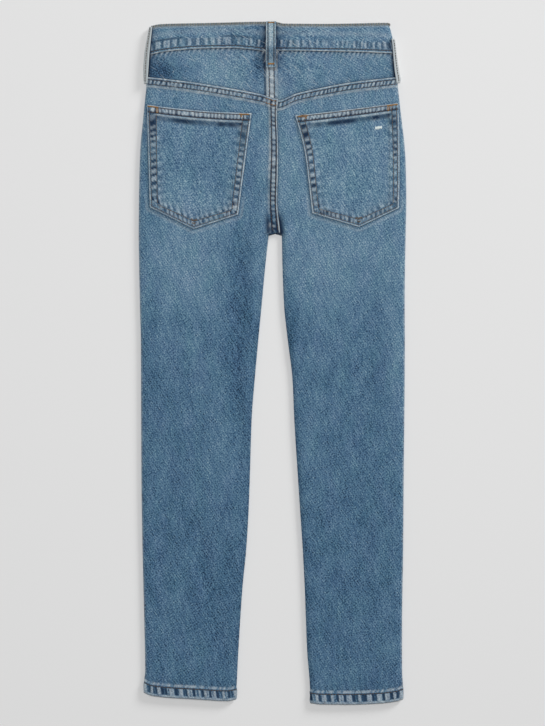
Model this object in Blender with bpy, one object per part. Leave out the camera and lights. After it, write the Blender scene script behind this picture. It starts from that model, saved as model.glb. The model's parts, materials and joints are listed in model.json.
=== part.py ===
"""Slim five-pocket denim jeans, laid flat on their front with the back upwards.

The frame has +Z up, +Y towards the waist and +X towards the wearer's right. The origin is under
the middle of the garment, on the surface that it lies on. Sizes below are in millimetres, and a
place on the garment is given as across, from the centre line, and down, from the top of the
waistband. The back cloth is one gently crowned skin; every sewn piece is a wall on that skin, and
a seam shows as the folded, thicker edge of the piece that laps over its neighbour.
"""

import math

import bmesh
import bpy
import numpy as np

MM = 0.001

# Cloth and trims
CLOTH = 1.1  # one layer of washed 12 oz denim
SEAM_GAP = 0.3  # between neighbouring pieces
LAP_RIDGE = 1.0  # how much a lapped, double-stitched edge stands above the skin
LAP_WIDTH = 9.5
STEP_RUN = 1.6  # over which a ridge falls back to the skin
BAND_OUT = 1.0  # waistband above the skin
BAND_IN = 1.1  # and below it
LOOP_THICK = 1.7
LOOP_WIDTH = 12.4
LOOP_RISE = 1.7  # daylight under the middle of a belt loop
BUTTON_RADIUS = 8.0
BUTTON_THICK = 1.6

# The lying garment
HALF_LENGTH = 416.2  # from the origin to the top of the waistband
LOFT = 6.0  # height of the back skin over the floor
EDGE_RUN = 12.0  # how far in from an edge the skin takes to reach its loft
EDGE_POWER = 2.15
UNDER_RUN = 4.0  # the same under the edge, on the front panels
SEAM_HEIGHT = 3.0  # side seams and inseams lie halfway up the edge
CLOSURE_LOFT = 2.5  # the button and the overlap below lift the middle of the waist
CLOSURE_REACH = (30.0, 78.0)  # across: full lift, none
CLOSURE_DOWN = (50.0, 90.0)
CROTCH_DOWN = 258.0
CROTCH_HEIGHT = 3.4  # the seat seam dips between the thighs
CROTCH_START = 214.0
HEM_DEPTH = 13.0
HEM_RIDGE = 0.8
FRONT_HEM_LONGER = 0.8

# Outlines. Each table's first column is where, and the others are named.
SIDES = {
    "columns": ("down", "left", "right"),
    "rows": (
        (0, -146.6, 139.2),
        (12, -147.8, 143.4),
        (27, -149.1, 146.6),
        (40, -150.1, 147.7),
        (60, -151.5, 149.2),
        (80, -153.8, 152.7),
        (118, -157.5, 156.9),
        (150, -160.7, 160.8),
        (175, -161.8, 162.3),
        (217, -162.7, 163.0),
        (258, -163.0, 162.2),
        (300, -162.4, 161.4),
        (345, -161.5, 161.0),
        (390, -160.4, 161.2),
        (435, -160.2, 161.0),
        (555, -159.7, 159.8),
        (645, -158.3, 159.1),
        (735, -156.1, 157.8),
        (790, -155.1, 157.8),
        (804, -156.4, 158.6),
        (818, -156.9, 159.4),
        (830, -156.5, 158.4),
    ),
}
INSEAMS = {
    "columns": ("down", "left", "right"),
    "rows": (
        (258, -4.5, 11.3),
        (300, -9.1, 12.2),
        (345, -13.3, 14.1),
        (390, -17.6, 18.9),
        (435, -21.7, 24.3),
        (485, -25.5, 26.6),
        (555, -27.7, 31.0),
        (600, -29.4, 34.0),
        (645, -32.3, 37.0),
        (690, -36.7, 39.3),
        (767, -41.7, 42.3),
        (805, -43.6, 45.4),
        (830, -45.2, 46.4),
    ),
}
CENTRE_SEAM = {
    "columns": ("down", "left", "right"),
    "rows": (
        (30, -5.0, 5.4),
        (92, -4.2, 6.6),
        (112, -3.4, 5.2),
        (184, -3.3, 6.5),
        (218, -3.3, 6.6),
        (258, -2.2, 9.3),
    ),
}
WAIST = {
    "columns": ("across", "top", "bottom"),
    "rows": (
        (-149, 5.6, 40.4),
        (-137, 3.3, 37.6),
        (-117, 2.5, 34.9),
        (-83, 1.8, 32.7),
        (-52, 1.2, 32.2),
        (-25, 0.7, 34.2),
        (-8, 0.5, 36.0),
        (5, 1.0, 35.7),
        (14, 2.8, 35.6),
        (52, 3.0, 36.0),
        (97, 2.4, 36.7),
        (139, 1.6, 38.4),
        (148, 2.5, 38.7),
    ),
}
YOKE_SEAM = {
    "columns": ("across", "left", "right"),
    "rows": (
        (-153, 69.0, 69.0),
        (-106, 74.4, 74.4),
        (-61, 81.4, 81.4),
        (-16, 89.7, 89.7),
        (7, 95.6, 98.0),
        (29, 95.6, 89.9),
        (52, 95.6, 84.6),
        (97, 95.6, 76.3),
        (152, 95.6, 69.8),
    ),
}
HEMS = {
    "columns": ("share", "left", "right"),
    "rows": (
        (0.0, 817.0, 825.3),
        (0.08, 820.6, 827.8),
        (0.26, 823.1, 830.2),
        (0.57, 825.2, 831.6),
        (0.90, 827.2, 831.2),
        (1.0, 825.6, 829.8),
    ),
}
FRONT_WAIST_DIP = 20.0  # the front waist is cut lower than the back
UNDERLAP_END = -17.0
OVERLAP_END = 17.0
FLY_LINE = 3.2  # across: the front centre seam
FLY_TUCK = 4.0  # the shield starts this far behind the seam
FLY_WIDTH = 32.0
FLY_LENGTH = 88.0

# Soft troughs in the lying cloth: from, to, half width and depth
FOLDS = {
    "columns": ("across_1", "down_1", "across_2", "down_2", "half_width", "depth"),
    "rows": (
        (-36, 262, -43, 400, 15, 1.3),
        (-43, 400, -40, 560, 12, 1.0),
        (-98, 600, -55, 790, 17, 1.1),
        (-132, 560, -136, 760, 14, 0.6),
        (117, 335, 98, 520, 22, 0.8),
        (96, 520, 112, 700, 20, 0.5),
        (70, 735, 92, 800, 14, 0.5),
        (-100, 125, -100, 215, 9, 0.5),
        (-19, 20, -24, 66, 10, 0.7),
        (19, 22, 24, 62, 10, 0.6),
        (-140, 48, -120, 60, 9, 0.5),
    ),
}

LEFT_POCKET = {
    "columns": ("share", "outer_across", "outer_down", "inner_across", "inner_down"),
    "rows": (
        (0.0, -152.4, 102.4, -26.0, 112.6),
        (0.5, -151.0, 164.2, -34.0, 173.6),
        (1.0, -149.3, 226.1, -42.0, 235.1),
    ),
    "tip_share": 0.496,
    "tip_depth": 21.9,
    "mouth_sag": 2.0,
}
RIGHT_POCKET = {
    "columns": ("share", "outer_across", "outer_down", "inner_across", "inner_down"),
    "rows": (
        (0.0, 152.6, 100.6, 27.7, 116.0),
        (0.2, 153.6, 124.0, 35.0, 139.7),
        (0.4, 154.2, 149.0, 40.1, 162.8),
        (0.7, 154.4, 189.0, 44.4, 198.0),
        (1.0, 153.7, 227.2, 48.6, 233.4),
    ),
    "tip_share": 0.459,
    "tip_depth": 20.1,
    "mouth_sag": 0.6,
}
POCKET_GAP = 0.35
POCKET_SIZE = (118.0, 124.0)  # mean width and height, for its turned-in edges
POCKET_BORDER = 11.2
POCKET_RIDGE = 0.7

DENIM_BLUE = (0.105, 0.178, 0.260, 1.0)
BRASS = (0.420, 0.300, 0.150, 1.0)


def curve_of(table, column):
    """A smooth curve through one column of a table, which never overshoots its points."""
    index = table["columns"].index(column)
    where = np.array([row[0] for row in table["rows"]], float)
    value = np.array([row[index] for row in table["rows"]], float)
    run = np.diff(where)
    slope = np.diff(value) / run
    tangent = np.concatenate([slope[:1], np.zeros(len(slope) - 1), slope[-1:]])
    for k in range(1, len(slope)):
        if slope[k - 1] * slope[k] > 0:
            tangent[k] = 2.0 / (1.0 / slope[k - 1] + 1.0 / slope[k])

    def at(place):
        place = min(max(place, where[0]), where[-1])
        k = min(int(np.searchsorted(where, place, side="right")) - 1, len(run) - 1)
        t = (place - where[k]) / run[k]
        from_start = value[k] * (1 + 2 * t) * (1 - t) ** 2 + tangent[k] * run[k] * t * (1 - t) ** 2
        from_end = value[k + 1] * t * t * (3 - 2 * t) - tangent[k + 1] * run[k] * t * t * (1 - t)
        return from_start + from_end

    return at


SIDE = {name: curve_of(SIDES, name) for name in ("left", "right")}
INSEAM = {name: curve_of(INSEAMS, name) for name in ("left", "right")}
CENTRE = {name: curve_of(CENTRE_SEAM, name) for name in ("left", "right")}
YOKE_LINE = {name: curve_of(YOKE_SEAM, name) for name in ("left", "right")}
HEM_LINE = {name: curve_of(HEMS, name) for name in ("left", "right")}
WAIST_TOP = curve_of(WAIST, "top")
WAIST_BOTTOM = curve_of(WAIST, "bottom")
OUTWARD = {"left": -1.0, "right": 1.0}


def ramp(value, start, end):
    """0 before start, 1 after end, and smooth between."""
    t = min(max((value - start) / (end - start), 0.0), 1.0)
    return t * t * (3 - 2 * t)


def rise(inset, run):
    """The share of full height that the skin has at this distance in from an edge."""
    if inset >= run:
        return 1.0
    return (1.0 - (1.0 - max(inset, 0.0) / run) ** EDGE_POWER) ** (1.0 / EDGE_POWER)


def fold_depth(across, down):
    """How far the soft troughs lower the skin here."""
    depth = 0.0
    for x1, d1, x2, d2, half_width, deepest in FOLDS["rows"]:
        along = (x2 - x1, d2 - d1)
        length = math.hypot(*along)
        share = ((across - x1) * along[0] + (down - d1) * along[1]) / length**2
        aside = abs((across - x1) * along[1] - (down - d1) * along[0]) / length
        if aside < half_width:
            ends = ramp(share, -0.12, 0.2) * (1.0 - ramp(share, 0.8, 1.12))
            depth += deepest * ends * (1.0 - (aside / half_width) ** 2) ** 2
    return depth


def loft_at(across, down):
    """The height of the skin away from its edges."""
    lift = 1.0 - ramp(abs(across - 3.0), *CLOSURE_REACH)
    lift *= 1.0 - ramp(down, *CLOSURE_DOWN)
    return LOFT + CLOSURE_LOFT * lift - fold_depth(across, down)


def seat_height(across, down):
    """The back skin above the crotch, one sheet from side to side."""
    inset = min(across - SIDE["left"](down), SIDE["right"](down) - across)
    loft = loft_at(across, down)
    height = SEAM_HEIGHT + (loft - SEAM_HEIGHT) * rise(inset, EDGE_RUN)
    from_strip = max(CENTRE["left"](down) - across, across - CENTRE["right"](down) - SEAM_GAP)
    valley = CROTCH_HEIGHT + (loft - CROTCH_HEIGHT) * rise(from_strip, EDGE_RUN)
    dip = ramp(down, CROTCH_START, CROTCH_DOWN - 10.0)
    return height + (min(valley, height) - height) * dip


def leg_height(across, down, side):
    """The back skin of one leg, which falls away at the side and at the inseam."""
    inset = min(abs(across - SIDE[side](down)), abs(across - INSEAM[side](down)))
    return SEAM_HEIGHT + (loft_at(across, down) - SEAM_HEIGHT) * rise(inset, EDGE_RUN)


def skin(across, down, side, leg=False):
    """(point, normal) of the back skin, in millimetres."""

    def height(x, d):
        return leg_height(x, d, side) if leg else seat_height(x, d)

    reach = 0.15
    slope_x = (height(across + reach, down) - height(across - reach, down)) / (2 * reach)
    slope_d = (height(across, down + reach) - height(across, down - reach)) / (2 * reach)
    normal = np.array([-slope_x, slope_d, 1.0])
    point = np.array([across, HALF_LENGTH - down, height(across, down)])
    return point, normal / np.linalg.norm(normal)


def sideways(side, outer):
    """The level direction in which an edge of this leg faces."""
    return np.array([OUTWARD[side] if outer else -OUTWARD[side], 0.0, 0.0])


def cloth_wall(name, base, normal, out, inward, material):
    """A closed sheet of cloth: out above a grid of base points, and inward below them."""
    rows, columns = base.shape[:2]
    outer = base + normal * np.asarray(out)[..., None]
    inner = base - normal * np.asarray(inward)[..., None]
    bm = bmesh.new()
    sheets = [
        [[bm.verts.new(p * MM) for p in row] for row in sheet] for sheet in (outer, inner)
    ]
    for sheet in sheets:
        for i in range(rows - 1):
            for j in range(columns - 1):
                corners = (sheet[i][j], sheet[i + 1][j], sheet[i + 1][j + 1], sheet[i][j + 1])
                bm.faces.new(corners)
    top, bottom = sheets
    rim = [(0, j) for j in range(columns)]
    rim += [(i, columns - 1) for i in range(1, rows)]
    rim += [(rows - 1, j) for j in range(columns - 2, -1, -1)]
    rim += [(i, 0) for i in range(rows - 2, 0, -1)]
    for (i, j), (k, m) in zip(rim, rim[1:] + rim[:1]):
        bm.faces.new((top[i][j], top[k][m], bottom[k][m], bottom[i][j]))
    return finish(name, bm, material)


def finish(name, bm, material):
    """Turns a closed bmesh into a named, smooth-shaded object."""
    bmesh.ops.recalc_face_normals(bm, faces=bm.faces)
    mesh = bpy.data.meshes.new(name)
    bm.to_mesh(mesh)
    bm.free()
    mesh.materials.append(material)
    mesh.shade_smooth()
    mesh.set_sharp_from_angle(angle=math.radians(40))
    obj = bpy.data.objects.new(name, mesh)
    bpy.context.scene.collection.objects.link(obj)
    return obj


def make_material(name, colour, roughness, metallic):
    material = bpy.data.materials.new(name)
    material.use_nodes = True
    shader = material.node_tree.nodes["Principled BSDF"]
    shader.inputs["Base Color"].default_value = colour
    shader.inputs["Roughness"].default_value = roughness
    shader.inputs["Metallic"].default_value = metallic
    return material


def back_columns(side, down, leg, middle):
    """The across places of one back section, from the side to the centre seam or inseam."""
    out = OUTWARD[side]
    edge = SIDE[side](down)
    if leg:
        end = INSEAM[side](down)
        foot, foot_2 = end + out * 2.2, end + out * 0.6
    elif side == "left":
        end = CENTRE["right"](down)
        foot = CENTRE["left"](down)
        foot_2 = foot + STEP_RUN
    else:
        end = CENTRE["right"](down) + SEAM_GAP
        foot, foot_2 = end + 2.2, end + 0.7
    rim = foot + out * 10.0
    start = edge - out * EDGE_RUN
    places = [edge, edge - out * 0.6, edge - out * 2.4, edge - out * 6.0]
    places += [start + (rim - start) * k / middle for k in range(middle + 1)]
    places += [foot + out * 4.5, foot, foot_2, end]
    return places


def centre_ridge(side, across, down):
    """The lapped edge of the left pieces, which covers the centre seam."""
    if side == "right":
        return 0.0
    foot = CENTRE["left"](down)
    return LAP_RIDGE * ramp(across, foot, foot + STEP_RUN)


def back_panel(side, material):
    """A back leg, from its lap over the yoke to the turned hem."""
    below_yoke = (0.0, LAP_WIDTH, LAP_WIDTH + STEP_RUN, 24.0, 40.0)
    seat_rows = (150, 170, 190, 206, 220, 232, 242, 250, CROTCH_DOWN - 1.2)
    leg_rows = (CROTCH_DOWN + 1.2, 266, 278, 296, 320, 346, 372, 398, 424, 450, 478, 508, 540)
    leg_rows += (572, 604, 636, 668, 700, 732, 762, 786)
    above_hem = (HEM_DEPTH + STEP_RUN, HEM_DEPTH, 5.0, 0.0)
    middle = 9
    base, normal, out = [], [], []
    for kind, value in (
        [("yoke", v) for v in below_yoke]
        + [("seat", v) for v in seat_rows]
        + [("leg", v) for v in leg_rows]
        + [("hem", v) for v in above_hem]
    ):
        leg = kind in ("leg", "hem")
        level = {"yoke": 82.0 + value, "hem": 824.0 - value}.get(kind, value)
        count = len(back_columns(side, level, leg, middle))
        points, normals, ridges = [], [], []
        for k in range(count):
            down = level
            for _ in range(3):  # the row bends with its seam, so the outline is read again there
                across = back_columns(side, down, leg, middle)[k]
                if kind == "yoke":
                    down = YOKE_LINE[side](across) + value
                if kind == "hem":
                    edge, end = SIDE[side](down), INSEAM[side](down)
                    down = HEM_LINE[side]((across - edge) / (end - edge)) - value
            point, facing = skin(across, down, side, leg)
            if k == 0:
                point[2] = SEAM_HEIGHT + SEAM_GAP / 2
                facing = sideways(side, outer=True)
            if leg and k == count - 1:
                point[2] = SEAM_HEIGHT + SEAM_GAP / 2
                facing = sideways(side, outer=False)
            ridge = 0.0
            if kind == "yoke" and value <= LAP_WIDTH:
                ridge = LAP_RIDGE
            if kind == "hem" and value <= HEM_DEPTH:
                ridge = HEM_RIDGE
            if not leg:
                ridge = max(ridge, centre_ridge(side, across, down))
            points.append(point)
            normals.append(facing)
            ridges.append(0.35 * ridge if k == 0 else ridge)
        base.append(points)
        normal.append(normals)
        out.append(ridges)
    base, normal, out = np.array(base), np.array(normal), np.array(out)
    return cloth_wall(f"back_leg_{side}", base, normal, out, np.full(out.shape, CLOTH), material)


def yoke(side, material):
    """The V-shaped yoke between the waistband and a back leg."""
    middle = 9
    shares = (0.0, 0.22, 0.44, 0.66, 0.85, 1.0)
    base, normal, out = [], [], []
    for share in shares:
        points, normals, ridges = [], [], []
        for k in range(len(back_columns(side, 60.0, False, middle))):
            down = 60.0
            for _ in range(3):
                across = back_columns(side, down, False, middle)[k]
                top = WAIST_BOTTOM(across) + SEAM_GAP
                bottom = YOKE_LINE[side](across) - SEAM_GAP
                down = top + (bottom - top) * share
            point, facing = skin(across, down, side)
            if k == 0:
                point[2] = SEAM_HEIGHT + SEAM_GAP / 2
                facing = sideways(side, outer=True)
            points.append(point)
            normals.append(facing)
            ridges.append(centre_ridge(side, across, down))
        base.append(points)
        normal.append(normals)
        out.append(ridges)
    base, normal, out = np.array(base), np.array(normal), np.array(out)
    return cloth_wall(f"yoke_{side}", base, normal, out, np.full(out.shape, CLOTH), material)


def front_waist(across, edge):
    """Down to the top or bottom edge of the waistband under the garment."""
    side = "left" if across < 0 else "right"
    share = min(abs(across / SIDE[side](20.0)), 1.0)
    at_side = WAIST_TOP(across) if edge == "top" else WAIST_BOTTOM(across)
    return at_side + FRONT_WAIST_DIP * (1.0 - share**2.4)


def under_point(across, down, inset, side, outer, floor=0.0):
    """(point, normal) of the cloth on the underside, which turns up at an edge."""
    share = rise(inset, UNDER_RUN)
    height = floor + (SEAM_HEIGHT - SEAM_GAP / 2 - floor) * (1.0 - share)
    lean = math.acos(min(share, 1.0))
    facing = sideways(side, outer) * math.sin(lean) + np.array([0.0, 0.0, -math.cos(lean)])
    return np.array([across, HALF_LENGTH - down, height]), facing / np.linalg.norm(facing)


def front_panel(side, material):
    """A front leg, flat on the floor, from the waistband to the hem."""
    below_band = (0.0, 30.0, 62.0)
    seat_rows = (140, 178, 214, 240, CROTCH_DOWN - 2.0)
    leg_rows = (CROTCH_DOWN + 2.0, 272, 300, 345, 390, 435, 485, 555, 620, 680, 735, 782)
    above_hem = (HEM_DEPTH + STEP_RUN, HEM_DEPTH, -FRONT_HEM_LONGER)
    insets = (0.0, 0.5, 1.6, UNDER_RUN)
    middle = 5
    out = OUTWARD[side]
    base, normal, inward = [], [], []
    for kind, value in (
        [("band", v) for v in below_band]
        + [("seat", v) for v in seat_rows]
        + [("leg", v) for v in leg_rows]
        + [("hem", v) for v in above_hem]
    ):
        leg = kind in ("leg", "hem")
        level = {"band": 60.0 + value, "hem": 824.0 - value}.get(kind, value)
        count = 2 * len(insets) + middle - 1
        points, normals, thick = [], [], []
        for k in range(count):
            down = level
            for _ in range(3):
                edge = SIDE[side](down)
                end = INSEAM[side](down) if leg else FLY_LINE + out * SEAM_GAP / 2
                start, stop = edge - out * UNDER_RUN, end + out * UNDER_RUN
                if k < len(insets):
                    across = edge - out * insets[k]
                elif k < len(insets) + middle - 1:
                    across = start + (stop - start) * (k - len(insets) + 1) / middle
                else:
                    across = end + out * insets[count - 1 - k]
                if kind == "band":
                    down = front_waist(across, "bottom") + SEAM_GAP + value
                if kind == "hem":
                    down = HEM_LINE[side]((across - edge) / (end - edge)) - value
            from_edge, from_end = abs(across - edge), abs(across - end)
            if leg and from_end < from_edge:
                point, facing = under_point(across, down, from_end, side, outer=False)
            else:
                point, facing = under_point(across, down, from_edge, side, outer=True)
            points.append(point)
            normals.append(facing)
            thick.append(CLOTH + (HEM_RIDGE if kind == "hem" and value <= HEM_DEPTH else 0.0))
        base.append(points)
        normal.append(normals)
        inward.append(thick)
    base, normal, inward = np.array(base), np.array(normal), np.array(inward)
    return cloth_wall(f"front_leg_{side}", base, normal, np.zeros(inward.shape), inward, material)


def waistband(material):
    """One folded strip round the waist, its ends lapped over each other under the garment."""
    edge_insets = (EDGE_RUN, 6.0, 2.4, 0.6, 0.0)
    under_insets = (0.8, 2.2, UNDER_RUN)
    under_gap = BUTTON_THICK + SEAM_GAP
    underlap_lift = under_gap + BAND_OUT + BAND_IN + SEAM_GAP
    top_stations = [-1.0 + 2.0 * k / 16 for k in range(17)]
    under_right = (UNDERLAP_END, 4.0, 25.0, 35.0, 46.0, 75.0, 110.0)
    under_left = (-110.0, -75.0, -46.0, -35.0, -25.0, -14.0, 2.0, OVERLAP_END)
    heights = (0.0, 0.3, 0.65, 1.0)
    stations = [("under_right", x) for x in under_right]
    stations += [("bend_under_right", s) for s in reversed(under_insets)]
    stations += [("bend_right", s) for s in reversed(edge_insets)]
    stations += [("top", -s) for s in top_stations[1:-1]]
    stations += [("bend_left", s) for s in edge_insets]
    stations += [("bend_under_left", s) for s in under_insets]
    stations += [("under_left", x) for x in under_left]
    base, normal = [], []
    for kind, value in stations:
        side = "left" if kind.endswith("left") else "right"
        out = OUTWARD[side]
        points, normals = [], []
        for share in heights:
            down = 20.0
            for _ in range(3):
                edge = SIDE[side](down)
                if kind.startswith("bend"):
                    across = edge - out * value
                elif kind == "top":
                    left, right = SIDE["left"](down) + EDGE_RUN, SIDE["right"](down) - EDGE_RUN
                    across = (left + right) / 2 + (right - left) / 2 * value
                else:
                    across = value
                if "under" in kind:
                    top, bottom = front_waist(across, "top"), front_waist(across, "bottom")
                else:
                    top, bottom = WAIST_TOP(across), WAIST_BOTTOM(across)
                down = top + (bottom - top) * share
            if kind in ("top", "bend_left", "bend_right"):
                point, facing = skin(across, down, side)
                if value == 0.0 and kind != "top":
                    point[2] = SEAM_HEIGHT
                    facing = sideways(side, outer=True)
            else:
                inset = abs(across - edge)
                floor = BAND_OUT
                if kind == "under_right":
                    floor += underlap_lift * (1.0 - ramp(across, 25.0, 46.0))
                if kind == "under_left":
                    floor += under_gap * ramp(across, -46.0, -14.0)
                point, facing = under_point(across, down, inset, side, True, floor)
            points.append(point)
            normals.append(facing)
        base.append(points)
        normal.append(normals)
    base, normal = np.array(base), np.array(normal)
    shape = base.shape[:2]
    return cloth_wall(
        "waistband", base, normal, np.full(shape, BAND_OUT), np.full(shape, BAND_IN), material
    )


def back_pocket(side, sizes, material):
    """A patch pocket on a back leg, thicker where its mouth and edges are turned in."""
    outer_x, outer_d = curve_of(sizes, "outer_across"), curve_of(sizes, "outer_down")
    inner_x, inner_d = curve_of(sizes, "inner_across"), curve_of(sizes, "inner_down")
    side_border, side_step = POCKET_BORDER / POCKET_SIZE[0], STEP_RUN / POCKET_SIZE[0]
    tip = sizes["tip_share"]
    across_shares = [0.0, 0.3 * side_border, 0.6 * side_border, side_border]
    across_shares += [side_border + side_step]
    across_shares += [tip - 0.26, tip - 0.13, tip, tip + 0.13, tip + 0.26]
    across_shares += [1.0 - share for share in reversed(across_shares[:5])]
    end_border, end_step = POCKET_BORDER / POCKET_SIZE[1], STEP_RUN / POCKET_SIZE[1]
    down_shares = [0.0, end_border, end_border + end_step, 0.2, 0.32, 0.44, 0.56, 0.68, 0.8]
    down_shares += [1.0 - end_border - end_step, 1.0 - end_border, 1.0]
    base, normal, out = [], [], []
    for v in down_shares:
        points, normals, heights = [], [], []
        for u in across_shares:
            to_tip = u / tip if u < tip else (1.0 - u) / (1.0 - tip)
            across = outer_x(v) + (inner_x(v) - outer_x(v)) * u
            down = outer_d(v) + (inner_d(v) - outer_d(v)) * u
            down += sizes["tip_depth"] * to_tip * v**1.5
            down += sizes["mouth_sag"] * 4 * u * (1 - u) * (1 - v)
            point, facing = skin(across, down, side)
            at_side = min(u, 1.0 - u) <= side_border + 1e-9
            at_end = min(v, 1.0 - v) <= end_border + 1e-9
            ridge = POCKET_RIDGE if at_side or at_end else 0.0
            points.append(point)
            normals.append(facing)
            heights.append(POCKET_GAP + CLOTH + ridge)
        base.append(points)
        normal.append(normals)
        out.append(heights)
    base, normal, out = np.array(base), np.array(normal), np.array(out)
    return cloth_wall(
        f"back_pocket_{side}", base, normal, out, np.full(out.shape, -POCKET_GAP), material
    )


def centre_loop(material):
    """The belt loop on the centre back, tacked at the top edge and below the waistband."""
    middle, ends = -1.7, (0.2, 56.2)
    shares = (0.0, 0.05, 0.16, 0.34, 0.52, 0.68, 0.82, 0.93, 1.0)
    base, normal, lift = [], [], []
    for share in shares:
        down = ends[0] + (ends[1] - ends[0]) * share
        over = BAND_OUT + SEAM_GAP if share < 0.6 else LAP_RIDGE + SEAM_GAP
        arch = ramp(share, 0.0, 0.3) * (1.0 - ramp(share, 0.6, 0.95))
        points, normals, lifts = [], [], []
        for k in (-1.0, -0.33, 0.33, 1.0):
            point, _ = skin(middle + k * LOOP_WIDTH / 2, down, "left")
            point[2] = max(point[2], skin(middle, down, "left")[0][2])
            points.append(point)
            normals.append(np.array([0.0, 0.0, 1.0]))
            lifts.append(over + 0.1 + LOOP_RISE * arch)
        base.append(points)
        normal.append(normals)
        lift.append(lifts)
    base, normal, lift = np.array(base), np.array(normal), np.array(lift)
    return cloth_wall("belt_loop_centre", base, normal, lift + LOOP_THICK, -lift, material)


SIDE_LOOPS = {
    "columns": ("share", "down_left", "out_left", "down_right", "out_right"),
    "rows": (
        (0.0, 6.5, 1.3, 21.0, 1.4),
        (0.12, 14.0, 1.9, 27.0, 1.5),
        (0.3, 26.5, 3.2, 37.0, 1.7),
        (0.5, 40.5, 4.3, 48.0, 2.3),
        (0.7, 54.0, 4.4, 58.5, 3.2),
        (0.88, 67.0, 3.2, 68.5, 3.7),
        (1.0, 74.8, 1.6, 74.3, 1.9),
    ),
}


def side_loop(side, material):
    """A belt loop at the side, curled round the edge of the lying waistband."""
    out = OUTWARD[side]
    centre_inset, centre_height, half_height = 1.6, 3.6, 3.5
    angles = [math.radians(a) for a in (78, 52, 24, -4, -24, -38)]
    index = SIDE_LOOPS["columns"].index(f"down_{side}")
    base, normal = [], []
    for row in SIDE_LOOPS["rows"]:
        down, stand = row[index], row[index + 1]
        centre = SIDE[side](down) - out * centre_inset
        reach = stand + centre_inset + BAND_OUT
        points, normals = [], []
        for angle in angles:
            x = centre + out * reach * math.cos(angle)
            z = centre_height + half_height * math.sin(angle)
            facing = np.array([out * math.cos(angle) / reach, 0.0, math.sin(angle) / half_height])
            points.append(np.array([x, HALF_LENGTH - down, z]))
            normals.append(facing / np.linalg.norm(facing))
        base.append(points)
        normal.append(normals)
    base, normal = np.array(base), np.array(normal)
    half = np.full(base.shape[:2], LOOP_THICK / 2)
    return cloth_wall(f"belt_loop_{side}", base, normal, half, half, material)


def fly_shield(material):
    """The strip behind the fly, inside the front, from the waistband down."""
    left = FLY_LINE - FLY_TUCK
    top = front_waist(FLY_LINE, "bottom") + 1.0
    height = CLOTH + SEAM_GAP
    rows = []
    for share in (0.0, 0.5, 1.0):
        y = HALF_LENGTH - top - FLY_LENGTH * share
        rows.append([(left + FLY_WIDTH * k / 2, y, height) for k in range(3)])
    base = np.array(rows)
    normal = np.zeros(base.shape)
    normal[..., 2] = -1.0
    shape = base.shape[:2]
    return cloth_wall("fly_shield", base, normal, np.zeros(shape), np.full(shape, CLOTH), material)


def waist_button(material):
    """The shank button under the lapped ends of the waistband, lying on the floor."""
    rim = 0.45
    profile = ((BUTTON_RADIUS - rim, 0.0), (BUTTON_RADIUS, rim), (BUTTON_RADIUS, BUTTON_THICK - rim))
    profile += ((BUTTON_RADIUS - rim, BUTTON_THICK),)
    down = (front_waist(0.0, "top") + front_waist(0.0, "bottom")) / 2
    steps = 28
    bm = bmesh.new()
    rings = []
    for radius, z in profile:
        ring = []
        for k in range(steps):
            turn = 2 * math.pi * k / steps
            x, y = radius * math.cos(turn), HALF_LENGTH - down + radius * math.sin(turn)
            ring.append(bm.verts.new((x * MM, y * MM, z * MM)))
        rings.append(ring)
    for low, high in zip(rings, rings[1:]):
        for k in range(steps):
            bm.faces.new((low[k], low[(k + 1) % steps], high[(k + 1) % steps], high[k]))
    bm.faces.new(rings[0])
    bm.faces.new(rings[-1])
    return finish("waist_button", bm, material)


def main():
    for obj in list(bpy.data.objects):
        bpy.data.objects.remove(obj)
    denim = make_material("washed_denim", DENIM_BLUE, 0.9, 0.0)
    brass = make_material("antique_brass", BRASS, 0.4, 1.0)
    for side in ("left", "right"):
        back_panel(side, denim)
        yoke(side, denim)
        front_panel(side, denim)
        side_loop(side, denim)
    back_pocket("left", LEFT_POCKET, denim)
    back_pocket("right", RIGHT_POCKET, denim)
    waistband(denim)
    centre_loop(denim)
    fly_shield(denim)
    waist_button(brass)


main()
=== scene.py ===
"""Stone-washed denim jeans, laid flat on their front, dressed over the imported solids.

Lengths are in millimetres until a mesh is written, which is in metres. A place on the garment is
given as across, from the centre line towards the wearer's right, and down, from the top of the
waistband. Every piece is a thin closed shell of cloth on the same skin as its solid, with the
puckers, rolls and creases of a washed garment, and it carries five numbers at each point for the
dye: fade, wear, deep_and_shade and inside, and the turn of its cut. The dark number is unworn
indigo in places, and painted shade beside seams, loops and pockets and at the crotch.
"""

import json
import math

import bmesh
import bpy
import numpy as np
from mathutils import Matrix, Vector

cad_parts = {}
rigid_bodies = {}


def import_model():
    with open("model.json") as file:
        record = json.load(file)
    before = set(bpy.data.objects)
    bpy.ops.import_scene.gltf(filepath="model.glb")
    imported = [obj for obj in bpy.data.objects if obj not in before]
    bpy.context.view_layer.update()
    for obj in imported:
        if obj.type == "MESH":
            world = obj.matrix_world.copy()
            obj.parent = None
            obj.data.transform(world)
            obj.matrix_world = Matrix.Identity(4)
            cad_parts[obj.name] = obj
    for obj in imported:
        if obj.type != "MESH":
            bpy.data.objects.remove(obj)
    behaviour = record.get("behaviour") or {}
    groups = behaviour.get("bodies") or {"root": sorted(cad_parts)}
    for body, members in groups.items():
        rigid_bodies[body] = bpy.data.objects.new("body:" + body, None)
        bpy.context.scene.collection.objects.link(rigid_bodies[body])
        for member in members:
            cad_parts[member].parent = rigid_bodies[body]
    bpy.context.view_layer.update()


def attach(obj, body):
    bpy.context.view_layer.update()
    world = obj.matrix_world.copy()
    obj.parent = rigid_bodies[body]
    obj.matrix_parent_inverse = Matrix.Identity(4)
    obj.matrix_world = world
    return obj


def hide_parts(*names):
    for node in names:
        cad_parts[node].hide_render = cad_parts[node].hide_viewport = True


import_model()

MM = 0.001
DYE_KEYS = ("fade", "wear", "deep_and_shade", "inside", "turn")
SHARP_FROM = 55.0  # degrees between two faces, from which their edge is drawn sharp

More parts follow.
